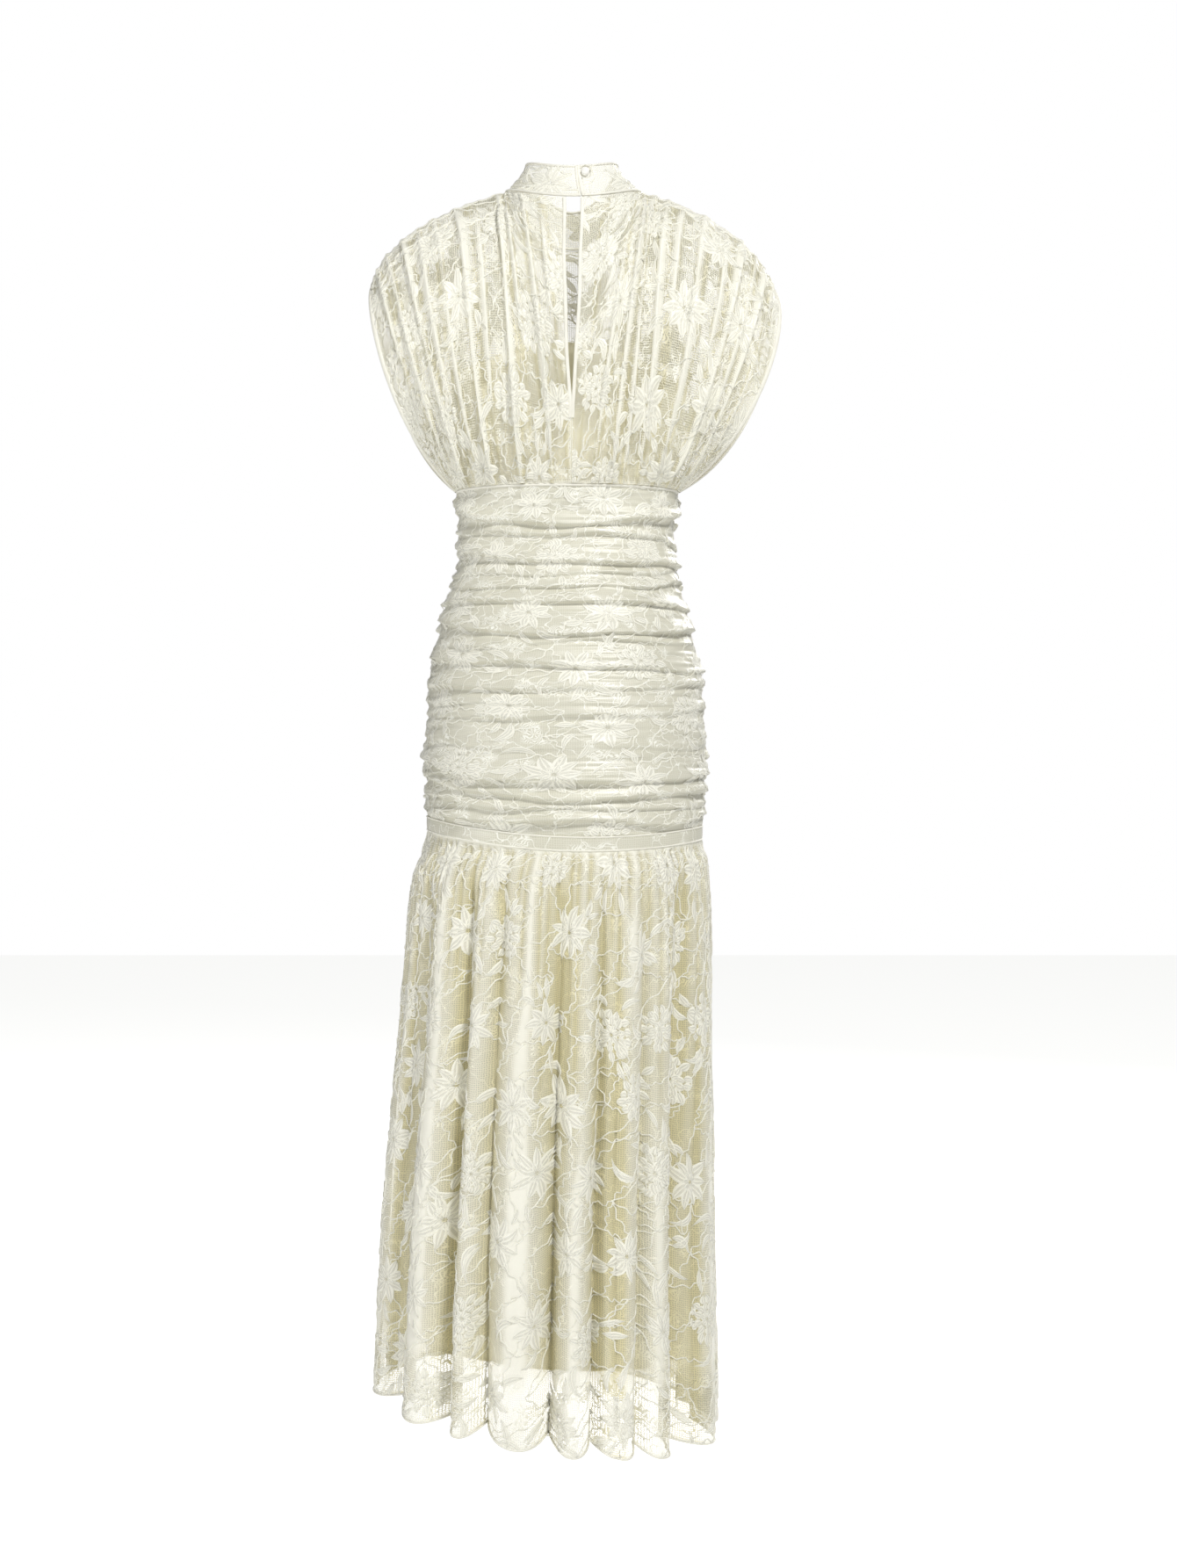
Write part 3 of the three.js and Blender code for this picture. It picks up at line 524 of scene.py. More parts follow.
def bodice_lining_surface(turn, v):
    """A close strapless lining: its top edge is highest in front, and lowest behind."""
    c, s = np.cos(turn), np.sin(turn)
    top = 195 * c * c + np.where(s > 0, 245, 138) * s * s - 6 * c
    soft = 0.7 * wobble(turn * 120, v * 90, 2, 80)
    return ring_point(ring_at(mix(top, WAIST_DROP + 9, v)), turn, -3.4 + soft * np.sin(np.pi * v))


def skirt_lining_surface(turn, v):
    """A plain lining that hangs in a few broad, shallow folds."""
    drop = mix(band_bottom(turn) - 9, lining_hem_drop(turn), v)
    soft = 2.6 * np.sin(turn * 9 + 1.3 * np.sin(2 * turn)) * smooth(0.1, 0.7, v)
    inset = 1.8 + 2.0 * smooth(0.02, 0.08, v) + 1.6 * smooth(0.1, 0.7, v)
    return ring_point(ring_at(drop, SKIRT_LINING), turn, soft - inset)


# ---------------------------------------------------------------- panels and meshes


class Panel:
    """A cut piece laid out flat, x anticlockwise and y down in millimetres, and the surface that its
    two parameters run over."""

    def __init__(self, surface, u, cut):
        self.surface, self.u = surface, u
        self.width, self.height = cut

    def parameters(self, x, y):
        """The surface's two parameters: u between its ends, and v from 0 at the top to 1."""
        return mix(*self.u, np.clip(x / self.width, 0, 1)), np.clip(y / self.height, 0, 1)

    def points(self, x, y):
        """Places on the surface."""
        return self.surface(*self.parameters(x, y))

    def cut(self):
        """Its flat size in metres."""
        return self.width * MM, self.height * MM

    def framed(self, x, y, step=0.6):
        """Points with their unit normals, from small steps along and down."""
        here = self.points(x, y)
        step_x = np.where(x > self.width / 2, -step, step)
        step_y = np.where(y > self.height / 2, -step, step)
        along = (self.points(x + step_x, y) - here) * np.sign(step_x)[..., None]
        down = (self.points(x, y + step_y) - here) * np.sign(step_y)[..., None]
        return here, unit(np.cross(down, along))


def grid_faces(rows, columns, first=0):
    """Four corners of each cell of a grid, in the order that faces out."""
    a = first + np.arange(rows - 1)[:, None] * columns + np.arange(columns - 1)[None, :]
    return np.stack([a, a + columns, a + columns + 1, a + 1], -1).reshape(-1, 4)


def make_mesh(name, points, faces, flat, size, values=None):
    """A smooth mesh from points in millimetres, with the cloth's own flat coordinates in metres and
    the same scaled to the unit square."""
    points, flat = points.reshape(-1, 3), flat.reshape(-1, 2)
    mesh = bpy.data.meshes.new(name)
    mesh.vertices.add(len(points))
    mesh.vertices.foreach_set("co", (points * MM).astype(np.float32).ravel())
    mesh.loops.add(faces.size)
    mesh.loops.foreach_set("vertex_index", faces.astype(np.int32).ravel())
    mesh.polygons.add(len(faces))
    mesh.polygons.foreach_set("loop_start", np.arange(0, faces.size, faces.shape[1], dtype=np.int32))
    corners = faces.ravel()
    layers = {"OFBake": np.clip(flat / np.array(size), 0, 1) * 0.98 + 0.01, "cloth": flat * MM}
    for layer, places in layers.items():
        places = places[corners].astype(np.float32).ravel()
        mesh.uv_layers.new(name=layer).uv.foreach_set("vector", places)
    for layer, column in (values or {}).items():
        column = np.broadcast_to(column, flat.shape[:1]) if np.ndim(column) == 0 else column.ravel()
        mesh.attributes.new(layer, "FLOAT", "POINT").data.foreach_set("value", column.astype(np.float32))
    mesh.polygons.foreach_set("use_smooth", np.ones(len(faces), bool))
    mesh.update(calc_edges=True)
    mesh.validate()
    piece = bpy.data.objects.new(name, mesh)
    bpy.context.scene.collection.objects.link(piece)
    return piece


def make_sheet(name, panel, columns, rows, values=None):
    """A panel's surface on an even grid. values gives named attributes from flat coordinates."""
    x, y = np.meshgrid(np.linspace(0, panel.width, columns), np.linspace(0, panel.height, rows))
    found = {key: rule(x, y) for key, rule in (values or {}).items()}
    flat, size = np.stack([x, y], -1), (panel.width, panel.height)
    return make_mesh(name, panel.points(x, y), grid_faces(rows, columns), flat, size, found)


RING = np.linspace(0, 2 * np.pi, 11)
ROLL_SECTION = np.stack([np.cos(-RING), np.sin(-RING)], -1)
CORD_SECTION = np.array([(-1, -0.3), (0, 1), (1, -0.3)])


def cords(panel, lines, half_width, height, section=CORD_SECTION, lift=0.0):
    """Sections carried along lines on the cloth. lines is (count, steps, 2) in flat millimetres, and
    each section's points are shares of the half width across and of the height out of the cloth."""
    point, normal = panel.framed(lines[..., 0], lines[..., 1])
    tangent = unit(np.gradient(point, axis=1))
    across = unit(np.cross(normal, tangent))
    wide = across[:, :, None] * (section[:, 0, None] * half_width)
    high = normal[:, :, None] * (section[:, 1, None] * height + lift)
    points = point[:, :, None] + wide + high
    flat = np.repeat(lines[:, :, None], len(section), 2)
    return points, flat, np.ones(flat.shape[:3]), np.zeros(flat.shape[:3])


def patches(panel, lines, half_widths, height, lift):
    """Leaf shapes on the cloth: lines as for cords, with a half width at each step. Their rims stand up
    as corded edges round a hollow middle."""
    tangent = unit(np.gradient(lines, axis=1))
    across = np.stack([tangent[..., 1], -tangent[..., 0]], -1)
    shares = np.array([-1, -0.72, 0, 0.72, 1])
    crown, worked = np.array([-0.2, 1, 0.2, 1, -0.2]), np.array([1, 1, 0.3, 1, 1])
    flat = lines[:, :, None] + across[:, :, None] * shares[:, None] * half_widths[..., None, None]
    point, normal = panel.framed(flat[..., 0], flat[..., 1])
    points = point + normal * (lift + height * crown)[:, None]
    return points, flat, np.broadcast_to(worked, flat.shape[:3]), np.broadcast_to(shares, flat.shape[:3])


def strips_to_mesh(name, panel, strips):
    """One mesh of many strips, each an array (count, steps, section points, 3) with its flat places, how
    closely its threads are worked and the share across its width."""
    faces, first = [], 0
    for place, *_ in strips:
        count, steps, wide = place.shape[:3]
        starts = first + np.arange(count)[:, None, None] * steps * wide
        faces.append((grid_faces(steps, wide)[None] + starts).reshape(-1, 4))
        first += count * steps * wide
    points, flat, dense, across = (
        np.concatenate([part.reshape(-1, *part.shape[3:]) for part in parts]) for parts in zip(*strips)
    )
    values = {"dense": dense, "across": across}
    return make_mesh(name, points, np.concatenate(faces), flat, (panel.width, panel.height), values)


# ---------------------------------------------------------------- lace motifs

ROW_RISE = 0.87  # height of a row of a triangular lattice, as a share of its pitch
SPIN = 6.28  # a whole turn, near enough for directions left to chance
CORDS_KEPT, RUFFLED = 0.7, 0.34  # share of the lattice's sides with a cord, and of full flowers
PETAL_RELIEF, CORD_RELIEF = 0.5, 0.9  # millimetres

# Rings of petals: full flower or not, petals in the ring, and inner radius, outer radius and half
# width of a petal as shares of the flower's radius.
PETAL_RINGS = (
    (False, 9, 0.14, 1.0, 0.2), (False, 7, 0.06, 0.45, 0.13),
    (True, 13, 0.55, 0.95, 0.17), (True, 10, 0.3, 0.68, 0.16), (True, 7, 0.05, 0.4, 0.14),
)


def petal_lines(centres, angles, inner, outer, bend, steps):
    """Midlines from inner to outer radius at the given angles, bent sideways a little."""
    t = np.linspace(0, 1, steps)
    radius = mix(inner[:, None], outer[:, None], t)
    angle = angles[:, None] + bend[:, None] * t**2
    return centres[:, None] + np.stack([radius * np.cos(angle), radius * np.sin(angle)], -1)


def lattice(width, height, pitch, rng, jitter):
    """Points of a triangular lattice over a panel, each moved by chance."""
    rows, columns = int(height / (pitch * ROW_RISE)) + 3, int(width / pitch) + 3
    j, i = np.mgrid[0:rows, 0:columns]
    places = np.stack([(i - 0.75 + 0.5 * (j % 2)) * pitch, (j - 0.75) * pitch * ROW_RISE], -1)
    return places + rng.uniform(-jitter, jitter, places.shape) * pitch


def inside(panel, lines):
    """Only the lines whose middle lies 2 mm or more inside the panel, each clipped 1 mm inside it."""
    size = np.array([panel.width, panel.height])
    middle = lines[:, lines.shape[1] // 2]
    on = np.all((middle > 2) & (middle < size - 2), -1)
    return np.clip(lines[on], 1.0, size - 1.0), on


def lace_motifs(name, panel, seed, sizes, lift=0.35, relief=1.0):
    """Flowers with pointed petals, full ruffled flowers, leaves and a net of wavy cords between them,
    drawn flat in the cloth's own millimetres and then laid on its surface. A cord is a sine wave about
    its straight line, and a petal's half width is a sine from end to end."""
    rng = np.random.default_rng(seed)
    cord = sizes.cord_width / MM / 2
    strips = []

    def draw(lines):
        kept, _ = inside(panel, lines)
        if len(kept):
            strips.append(cords(panel, kept, cord, CORD_RELIEF * relief, lift=lift))

    def fill(lines, widths):
        kept, on = inside(panel, lines)
        if len(kept):
            strips.append(patches(panel, kept, widths[on], PETAL_RELIEF * relief, lift))

    # Wavy cords along most sides of a lattice leave uneven polygons.
    nodes = lattice(panel.width, panel.height, sizes.cell / MM, rng, 0.24)
    starts = nodes[:, :-1], nodes[:-1, :-1], nodes[:-1, 1:]
    ends = nodes[:, 1:], nodes[1:, :-1], nodes[1:, :-1]
    start, end = (np.concatenate([places.reshape(-1, 2) for places in group]) for group in (starts, ends))
    drawn = rng.random(len(start)) < CORDS_KEPT
    start, end = start[drawn], end[drawn]
    t = np.linspace(0, 1, 11)
    aside = unit(end - start)[:, ::-1] * np.array([1, -1])
    waves = rng.integers(2, 4, len(start))[:, None]
    swing = 2.6 * np.sin(2 * np.pi * (waves * t + rng.random(len(start))[:, None]))
    swing = swing + 5 * rng.uniform(-1, 1, len(start))[:, None] * np.sin(np.pi * t)
    swing = swing * np.sin(np.pi * t) ** 0.4
    draw(mix(start[:, None], end[:, None], t[:, None]) + aside[:, None] * swing[..., None])

    # Flowers on a wider lattice: two in three have long pointed petals round a small inner ring, and
    # the rest three rings of short ones.
    centres = lattice(panel.width, panel.height, sizes.flower_spacing / MM, rng, 0.16).reshape(-1, 2)
    radius = rng.uniform(0.85, 1.15, len(centres)) * sizes.flower_width / MM / 2
    ruffled = rng.random(len(centres)) < RUFFLED
    t = np.linspace(0, 1, 7)
    pointed = np.sin(np.pi * t**0.8) ** 0.8
    for full, petals, inner, outer, wide in PETAL_RINGS:
        which = ruffled == full
        centre, size = np.repeat(centres[which], petals, 0), np.repeat(radius[which], petals)
        count = len(centre)
        spin = np.repeat(rng.random(which.sum()) * SPIN, petals)
        angle = spin + np.tile(np.arange(petals), which.sum()) * 2 * np.pi / petals
        angle = angle + rng.normal(0, 0.07, count)
        reach = size * outer * rng.uniform(0.82, 1.1, count)
        lines = petal_lines(centre, angle, size * inner, reach, rng.normal(0, 0.16, count), len(t))
        widths = pointed * (size * wide * rng.uniform(0.8, 1.15, count))[:, None]
        fill(lines, widths)

    # Four leaves beside each flower, on any side of it.
    leaves = np.repeat(centres, 4, 0)
    size = np.repeat(radius, 4)
    angle = rng.random(len(leaves)) * SPIN
    reach = size + rng.uniform(18, 34, len(leaves))
    lines = petal_lines(leaves, angle, size * 0.95, reach, rng.normal(0, 0.3, len(leaves)), len(t))
    widths = np.sin(np.pi * t**0.9) * rng.uniform(3.2, 5.4, len(leaves))[:, None]
    fill(lines, widths)
    return strips_to_mesh(name, panel, strips)


# ---------------------------------------------------------------- materials

PETAL_VEINS = 3.0  # veins along each side of a petal
STITCH_SCALE = 0.31  # a wave texture's scale times its pitch is 0.44 across diagonal bands, so
GROUND_SCALE = 0.16  # stitches are drawn 1.4 and 2.8 times as coarse as real ones, which don't show
RIB_PITCH = 1.0472  # millimetres between the ribs of the binding
WAVE_BANDS = 2 * np.pi / 20  # a wave texture's scale times the pitch of its straight bands
VEIN_DRIFT, VEIN_SWING = 100 / 7, 16.0  # millimetres between the veins' bends, and how far they swing
COLOURS = {"data_type": "RGBA"}
SMOOTH_STEP = {"interpolation_type": "SMOOTHSTEP"}


def linear(hex_colour):
    """Linear colour from an sRGB hex value, by the standard curve: a straight part, then a power 2.4."""
    value = np.array([int(hex_colour[i : i + 2], 16) / 255 for i in (1, 3, 5)])
    value = np.where(value <= 0.04045, value / 12.92, ((value + 0.055) / 1.055) ** 2.4)
    return (*value.tolist(), 1.0)


def add(tree, kind, settings=None, **inputs):
    """A node with its settings. Its inputs are set or linked by name, with underscores for spaces, or
    by number after an i."""
    made = tree.nodes.new(kind)
    for name, value in (settings or {}).items():
        setattr(made, name, value)
    for name, value in inputs.items():
        socket = made.inputs[int(name[1:]) if name[1:].isdigit() else name.replace("_", " ")]
        if isinstance(value, bpy.types.NodeSocket):
            tree.links.new(value, socket)
        else:
            socket.default_value = value
    return made


def opaque(colour):
    """A colour property with full alpha."""
    return (*colour, 1.0)


def new_material(name):
    """An empty material and its node tree."""
    material = bpy.data.materials.new(name)
    material.use_nodes = True
    material.node_tree.nodes.clear()
    return material, material.node_tree


def finish_material(tree, **inputs):
    """The shader with its inputs, joined to the output."""
    shader = add(tree, "ShaderNodeBsdfPrincipled", **inputs)
    add(tree, "ShaderNodeOutputMaterial", Surface=shader.outputs[0])


def net_threads(tree, sizes):
    """1 on the threads of a fine net of uneven hexagons, from the cloth's flat coordinates: a step at
    half a thread's width from the edges of the cells."""
    half_thread = sizes.net_thread / sizes.net_pitch / 2
    cloth = add(tree, "ShaderNodeUVMap", {"uv_map": "cloth"})
    cells = add(
        tree, "ShaderNodeTexVoronoi", {"voronoi_dimensions": "2D", "feature": "DISTANCE_TO_EDGE"},
        Vector=cloth.outputs[0], Scale=1 / sizes.net_pitch, Randomness=0.35,
    )
    edge = add(
        tree, "ShaderNodeMapRange", SMOOTH_STEP,
        i0=cells.outputs[0], i1=half_thread * 0.6, i2=half_thread * 1.4, i3=1.0, i4=0.0,
    )
    return edge.outputs[0]


def cloudy(tree, size, detail=3.0):
    """Slow unevenness of the dye and the thread, about size millimetres across."""
    place = add(tree, "ShaderNodeTexCoord").outputs["Object"]
    return add(tree, "ShaderNodeTexNoise", Vector=place, Scale=1 / (size * MM), Detail=detail).outputs[0]


def lace_relief(tree, sizes):
    """1 on the figured parts of the ground: wandering veins in uneven cells, and clouds of short
    stitches between them."""
    cloth = add(tree, "ShaderNodeUVMap", {"uv_map": "cloth"}).outputs[0]
    drift = add(
        tree, "ShaderNodeTexNoise", {"noise_dimensions": "2D"},
        Vector=cloth, Scale=1 / (VEIN_DRIFT * MM), Detail=1.0,
    ).outputs[1]
    swing = add(tree, "ShaderNodeVectorMath", {"operation": "SCALE"}, i0=drift, Scale=VEIN_SWING * MM)
    bent = add(tree, "ShaderNodeVectorMath", {"operation": "ADD"}, i0=cloth, i1=swing.outputs[0]).outputs[0]
    cells = add(
        tree, "ShaderNodeTexVoronoi", {"voronoi_dimensions": "2D", "feature": "DISTANCE_TO_EDGE"},
        Vector=bent, Scale=1 / sizes.vein_cell, Randomness=1.0,
    )
    width = sizes.cord_width / sizes.vein_cell / 2
    veins = add(
        tree, "ShaderNodeMapRange", SMOOTH_STEP,
        i0=cells.outputs[0], i1=width * 0.35, i2=width * 0.9, i3=1.0, i4=0.0,
    )
    cloud = add(
        tree, "ShaderNodeTexNoise", {"noise_dimensions": "2D"},
        Vector=cloth, Scale=1 / sizes.cloud, Detail=1.0,
    )
    where = add(
        tree, "ShaderNodeMapRange", SMOOTH_STEP,
        i0=cloud.outputs[0], i1=0.55, i2=0.68, i3=0.0, i4=1.0,
    )
    stitches = add(
        tree, "ShaderNodeTexWave", {"wave_type": "BANDS", "bands_direction": "DIAGONAL"},
        Vector=cloth, Scale=GROUND_SCALE / sizes.stitch_pitch, Distortion=26.0, Detail=1.0, Detail_Scale=0.7,
    )
    close = add(
        tree, "ShaderNodeMapRange", SMOOTH_STEP,
        i0=stitches.outputs[1], i1=0.45, i2=0.7, i3=0.0, i4=1.0,
    )
    worked = add(tree, "ShaderNodeMath", {"operation": "MULTIPLY"}, i0=close.outputs[0], i1=where.outputs[0])
    both = add(tree, "ShaderNodeMath", {"operation": "MAXIMUM"}, i0=veins.outputs[0], i1=worked.outputs[0])
    return both.outputs[0]


def lace_net_material(sizes, colours):
    """Nylon net of soft-spun thread: matt, see-through between its threads, whiter where it is figured
    or doubled in a pleat or seam. The dense attribute also carries a painted highlight on the skirt's
    fold crests. The fold attribute carries painted shade: deep in a fold or beside a pleat the colour
    turns a darker cream, partly the doubled cloth there."""
    material, tree = new_material("lace_net_nylon")
    threads = net_threads(tree, sizes)
    relief = lace_relief(tree, sizes)
    dense = add(tree, "ShaderNodeAttribute", {"attribute_name": "dense"}).outputs["Fac"]
    figured = add(tree, "ShaderNodeMath", {"operation": "MAXIMUM"}, i0=relief, i1=dense).outputs[0]
    alpha = add(tree, "ShaderNodeMath", {"operation": "MAXIMUM"}, i0=threads, i1=figured).outputs[0]
    colour = add(
        tree, "ShaderNodeMix", COLOURS,
        i0=cloudy(tree, 50), i6=opaque(colours.net), i7=opaque(colours.net_light),
    ).outputs[2]
    colour = add(
        tree, "ShaderNodeMix", COLOURS, i0=figured, i6=colour, i7=opaque(colours.figure)
    ).outputs[2]
    # Painted shade: the fold attribute turns the colour a darker cream deep in folds and beside pleats, partly
    # the doubled cloth there.
    fold = add(tree, "ShaderNodeAttribute", {"attribute_name": "fold"}).outputs["Fac"]
    painted_fold_shade = add(tree, "ShaderNodeMath", {"operation": "MULTIPLY"}, i0=fold, i1=0.8).outputs[0]
    colour = add(
        tree, "ShaderNodeMix", COLOURS, i0=painted_fold_shade, i6=colour, i7=opaque(colours.fold)
    ).outputs[2]
    bump = add(tree, "ShaderNodeBump", Strength=0.35, Distance=0.0005, Height=alpha)
    finish_material(
        tree, Base_Color=colour, Roughness=0.5, Alpha=alpha, Normal=bump.outputs[0],
        Sheen_Weight=0.25, Sheen_Roughness=0.5, Specular_IOR_Level=0.5,
    )
    return material


def lace_motif_material(sizes, colours):
    """Embroidered motifs in viscose cord: corded rims and veins with a slight lustre, and open net
    between them."""
    material, tree = new_material("lace_motif_viscose")
    cloth = add(tree, "ShaderNodeUVMap", {"uv_map": "cloth"})
    stitches = add(
        tree, "ShaderNodeTexWave", {"wave_type": "BANDS", "bands_direction": "DIAGONAL"},
        Vector=cloth.outputs[0], Scale=STITCH_SCALE / sizes.stitch_pitch, Distortion=6.0, Detail=1.0,
    ).outputs[1]
    dense = add(tree, "ShaderNodeAttribute", {"attribute_name": "dense"}).outputs["Fac"]
    across = add(tree, "ShaderNodeAttribute", {"attribute_name": "across"}).outputs["Fac"]
    swing = add(tree, "ShaderNodeMath", {"operation": "MULTIPLY"}, i0=across, i1=PETAL_VEINS * np.pi)
    veins = add(tree, "ShaderNodeMath", {"operation": "COSINE"}, i0=swing.outputs[0]).outputs[0]
    vein = add(tree, "ShaderNodeMapRange", i0=veins, i1=0.1, i2=0.7, i3=0.0, i4=1.0).outputs[0]
    rim = add(tree, "ShaderNodeMapRange", i0=dense, i1=0.75, i2=0.95, i3=0.0, i4=1.0).outputs[0]
    corded = add(tree, "ShaderNodeMath", {"operation": "MAXIMUM"}, i0=vein, i1=rim).outputs[0]
    alpha = add(tree, "ShaderNodeMapRange", i0=corded, i1=0.0, i2=1.0, i3=0.72, i4=1.0).outputs[0]
    colour = add(
        tree, "ShaderNodeMix", COLOURS, i0=stitches, i6=opaque(colours.cord_shade), i7=opaque(colours.cord)
    ).outputs[2]
    bump = add(tree, "ShaderNodeBump", Strength=0.35, Distance=0.0003, Height=corded)
    finish_material(
        tree, Base_Color=colour, Roughness=0.42, Alpha=alpha, Normal=bump.outputs[0],
        Sheen_Weight=0.2, Sheen_Roughness=0.4, Specular_IOR_Level=0.5,
    )
    return material


def satin_material(name, base, light, lace_over=None):
    """Polyester satin lining: smooth, softly glossy along its folds. With lace_over, a group of sizes
    and a colour, it shows the lace that lies flat on it."""
    material, tree = new_material(name)
    colour = add(
        tree, "ShaderNodeMix", COLOURS, i0=cloudy(tree, 40), i6=opaque(base), i7=opaque(light)
    ).outputs[2]
    height = cloudy(tree, 1.2, 1.0)
    if lace_over:
        sizes, thread_colour = lace_over
        relief = lace_relief(tree, sizes)
        threads = net_threads(tree, sizes)
        faint = add(tree, "ShaderNodeMath", {"operation": "MULTIPLY"}, i0=threads, i1=0.35).outputs[0]
        height = add(tree, "ShaderNodeMath", {"operation": "MAXIMUM"}, i0=relief, i1=faint).outputs[0]
        colour = add(
            tree, "ShaderNodeMix", COLOURS, i0=height, i6=colour, i7=opaque(thread_colour)
        ).outputs[2]
    bump = add(tree, "ShaderNodeBump", Strength=0.2, Distance=0.0004, Height=height)
    finish_material(
        tree, Base_Color=colour, Roughness=0.34, Normal=bump.outputs[0],
        Sheen_Weight=0.15, Sheen_Roughness=0.4, Specular_IOR_Level=0.55,
    )
    return material


def edging_material(colours):
    """Plain woven binding folded over raw edges: matt, with a fine rib."""
    material, tree = new_material("edging_woven_binding")
    place = add(tree, "ShaderNodeTexCoord").outputs["Object"]
    rib = add(
        tree, "ShaderNodeTexWave", {"bands_direction": "Z"},
        Vector=place, Scale=WAVE_BANDS / (RIB_PITCH * MM), Distortion=1.0,
    )
    colour = add(
        tree, "ShaderNodeMix", COLOURS,
        i0=cloudy(tree, 20), i6=opaque(colours.edging_shade), i7=opaque(colours.cord),
    ).outputs[2]
    bump = add(tree, "ShaderNodeBump", Strength=0.25, Distance=0.0003, Height=rib.outputs[1])
    finish_material(tree, Base_Color=colour, Roughness=0.6, Normal=bump.outputs[0], Sheen_Weight=0.2)
    return material


def button_material(colours):
    """Cast polyester button: white, smooth and softly glossy."""
    material, tree = new_material("button_cast_polyester")
    colour = add(
        tree, "ShaderNodeMix", COLOURS, i0=cloudy(tree, 4), i6=opaque(colours.button), i7=opaque(colours.cord)
    ).outputs[2]
    finish_material(tree, Base_Color=colour, Roughness=0.22, IOR=1.55)
    return material


def floor_material(colours):
    """Seamless studio paper: matt and pale."""
    material, tree = new_material("studio_paper")
    paper = opaque(colours.paper)
    seen = add(tree, "ShaderNodeLightPath").outputs["Is Camera Ray"]
    glow = add(tree, "ShaderNodeMapRange", i0=seen, i1=0.0, i2=1.0, i3=0.22, i4=0.82).outputs[0]
    finish_material(
        tree, Base_Color=paper, Roughness=0.9, Specular_IOR_Level=0.1,
        Emission_Color=paper, Emission_Strength=glow,
    )
    return material


# ---------------------------------------------------------------- properties


def length_property(name, description, millimetres):
    """A length kept in metres, given in millimetres."""
    return bpy.props.FloatProperty(
        name=name, description=description, default=millimetres * MM, min=0, unit="LENGTH", precision=5
    )


def colour_property(name, description, hex_colour):
    """A linear colour, given as an sRGB hex value."""
    return bpy.props.FloatVectorProperty(
        name=name, description=description, default=linear(hex_colour)[:3],
        subtype="COLOR", size=3, min=0, max=1,
    )


class DressSizes(bpy.types.PropertyGroup):
    """Sizes of the lace and its trimmings."""

    # A real net of this kind is finer. Its holes and threads wouldn't show, so both are drawn coarser.
    net_pitch: length_property("Net pitch", "Width of one hole of the net", 2.4)
    net_thread: length_property("Net thread", "Width of one thread of the net", 0.552)
    cord_width: length_property("Cord width", "Width of the cords that outline the motifs", 1.5)
    stitch_pitch: length_property("Stitch pitch", "Spacing of the stitches that fill a petal", 1.4)
    vein_cell: length_property("Vein cells", "Size of the cells between the fine veins", 32)
    cloud: length_property("Stitched clouds", "Size of the clouds of short stitches", 34)
    cell: length_property("Cord cells", "Spacing of the polygons between the flowers", 40)
    flower_spacing: length_property("Flower spacing", "Distance between flowers", 98)
    flower_width: length_property("Flower width", "Width of a flower", 62)
    binding_width: length_property("Binding width", "Width of the folded edge round an armhole", 5)
    facing_width: length_property("Facing width", "Width of the strip down each edge of the keyhole", 4)
    hem_roll: length_property("Hem roll", "Thickness of the rolled hem", 2.4)
    lining_ply: length_property("Lining ply", "Thickness of the lining", 0.6)


class DressColours(bpy.types.PropertyGroup):
    """Colours of each cloth."""

    net: colour_property("Net", "Net in shade", "#F0ECD5")
    net_light: colour_property("Net light", "Net in light", "#F6F3E1")
    cord: colour_property("Cord", "Motif cords and petals", "#FBFAEF")
    cord_shade: colour_property("Cord shade", "Hollows between stitches", "#F3F0DF")
    figure: colour_property("Figured ground", "Veins and short stitches of the ground", "#F7F5E7")
    # Painted shade: the colour that deep folds and the flanks of pleats are mixed towards, partly the cloth
    # doubling there.
    fold: colour_property("Folds", "Doubled cloth deep in a fold", "#D6CC98")
    lining: colour_property("Lining", "Lining", "#F6EFCC")
    lining_light: colour_property("Lining light", "Lining where it is worn smooth", "#FAF5DC")
    ruched: colour_property("Ruched ground", "Satin under the ruched lace", "#CBC8B2")
    ruched_light: colour_property("Ruched ground light", "The same where the folds stretch it", "#DCD9C8")
    edging_shade: colour_property("Edging", "Binding and facing", "#E9E5D6")
    button: colour_property("Button", "Button", "#F4F2EE")
    paper: colour_property("Paper", "Studio floor", "#F2F2F0")


# ---------------------------------------------------------------- pieces


def keep(piece, material, nodes=()):
    """Gives a piece its material, the body it rides on and the nodes it stands for."""
    piece.data.materials.clear()
    piece.data.materials.append(material)
    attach(piece, "root")
    if nodes:
        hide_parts(*nodes)
    return piece


def material_named(name, make):
    """The material of that name, made when it is first asked for."""
    return bpy.data.materials.get(name) or make()


def settings(context):
    """The sizes and the colours."""
    return context.scene.dress_sizes, context.scene.dress_colours


def net(context):
    """The net of every lace panel."""
    return material_named("lace_net_nylon", lambda: lace_net_material(*settings(context)))


def motif(context):
    """The cords and petals laid on it."""
    return material_named("lace_motif_viscose", lambda: lace_motif_material(*settings(context)))


def edging(context):
    """The bindings, seams and rolled edges."""
    return material_named("edging_woven_binding", lambda: edging_material(settings(context)[1]))


def satin(context):
    """The linings."""
    name, colours = "lining_satin_polyester", settings(context)[1]
    return material_named(name, lambda: satin_material(name, colours.lining, colours.lining_light))


def solidify(piece, thickness):
    """Thickness to the inside of a sheet."""
    modifier = piece.modifiers.new("ply", "SOLIDIFY")
    modifier.thickness = thickness
    modifier.offset = -1
    return piece


def near_edge(distance, width, most):
    """A value that rises from 0 to its most within width of an edge."""
    return most * (1 - smooth(0, width, distance))


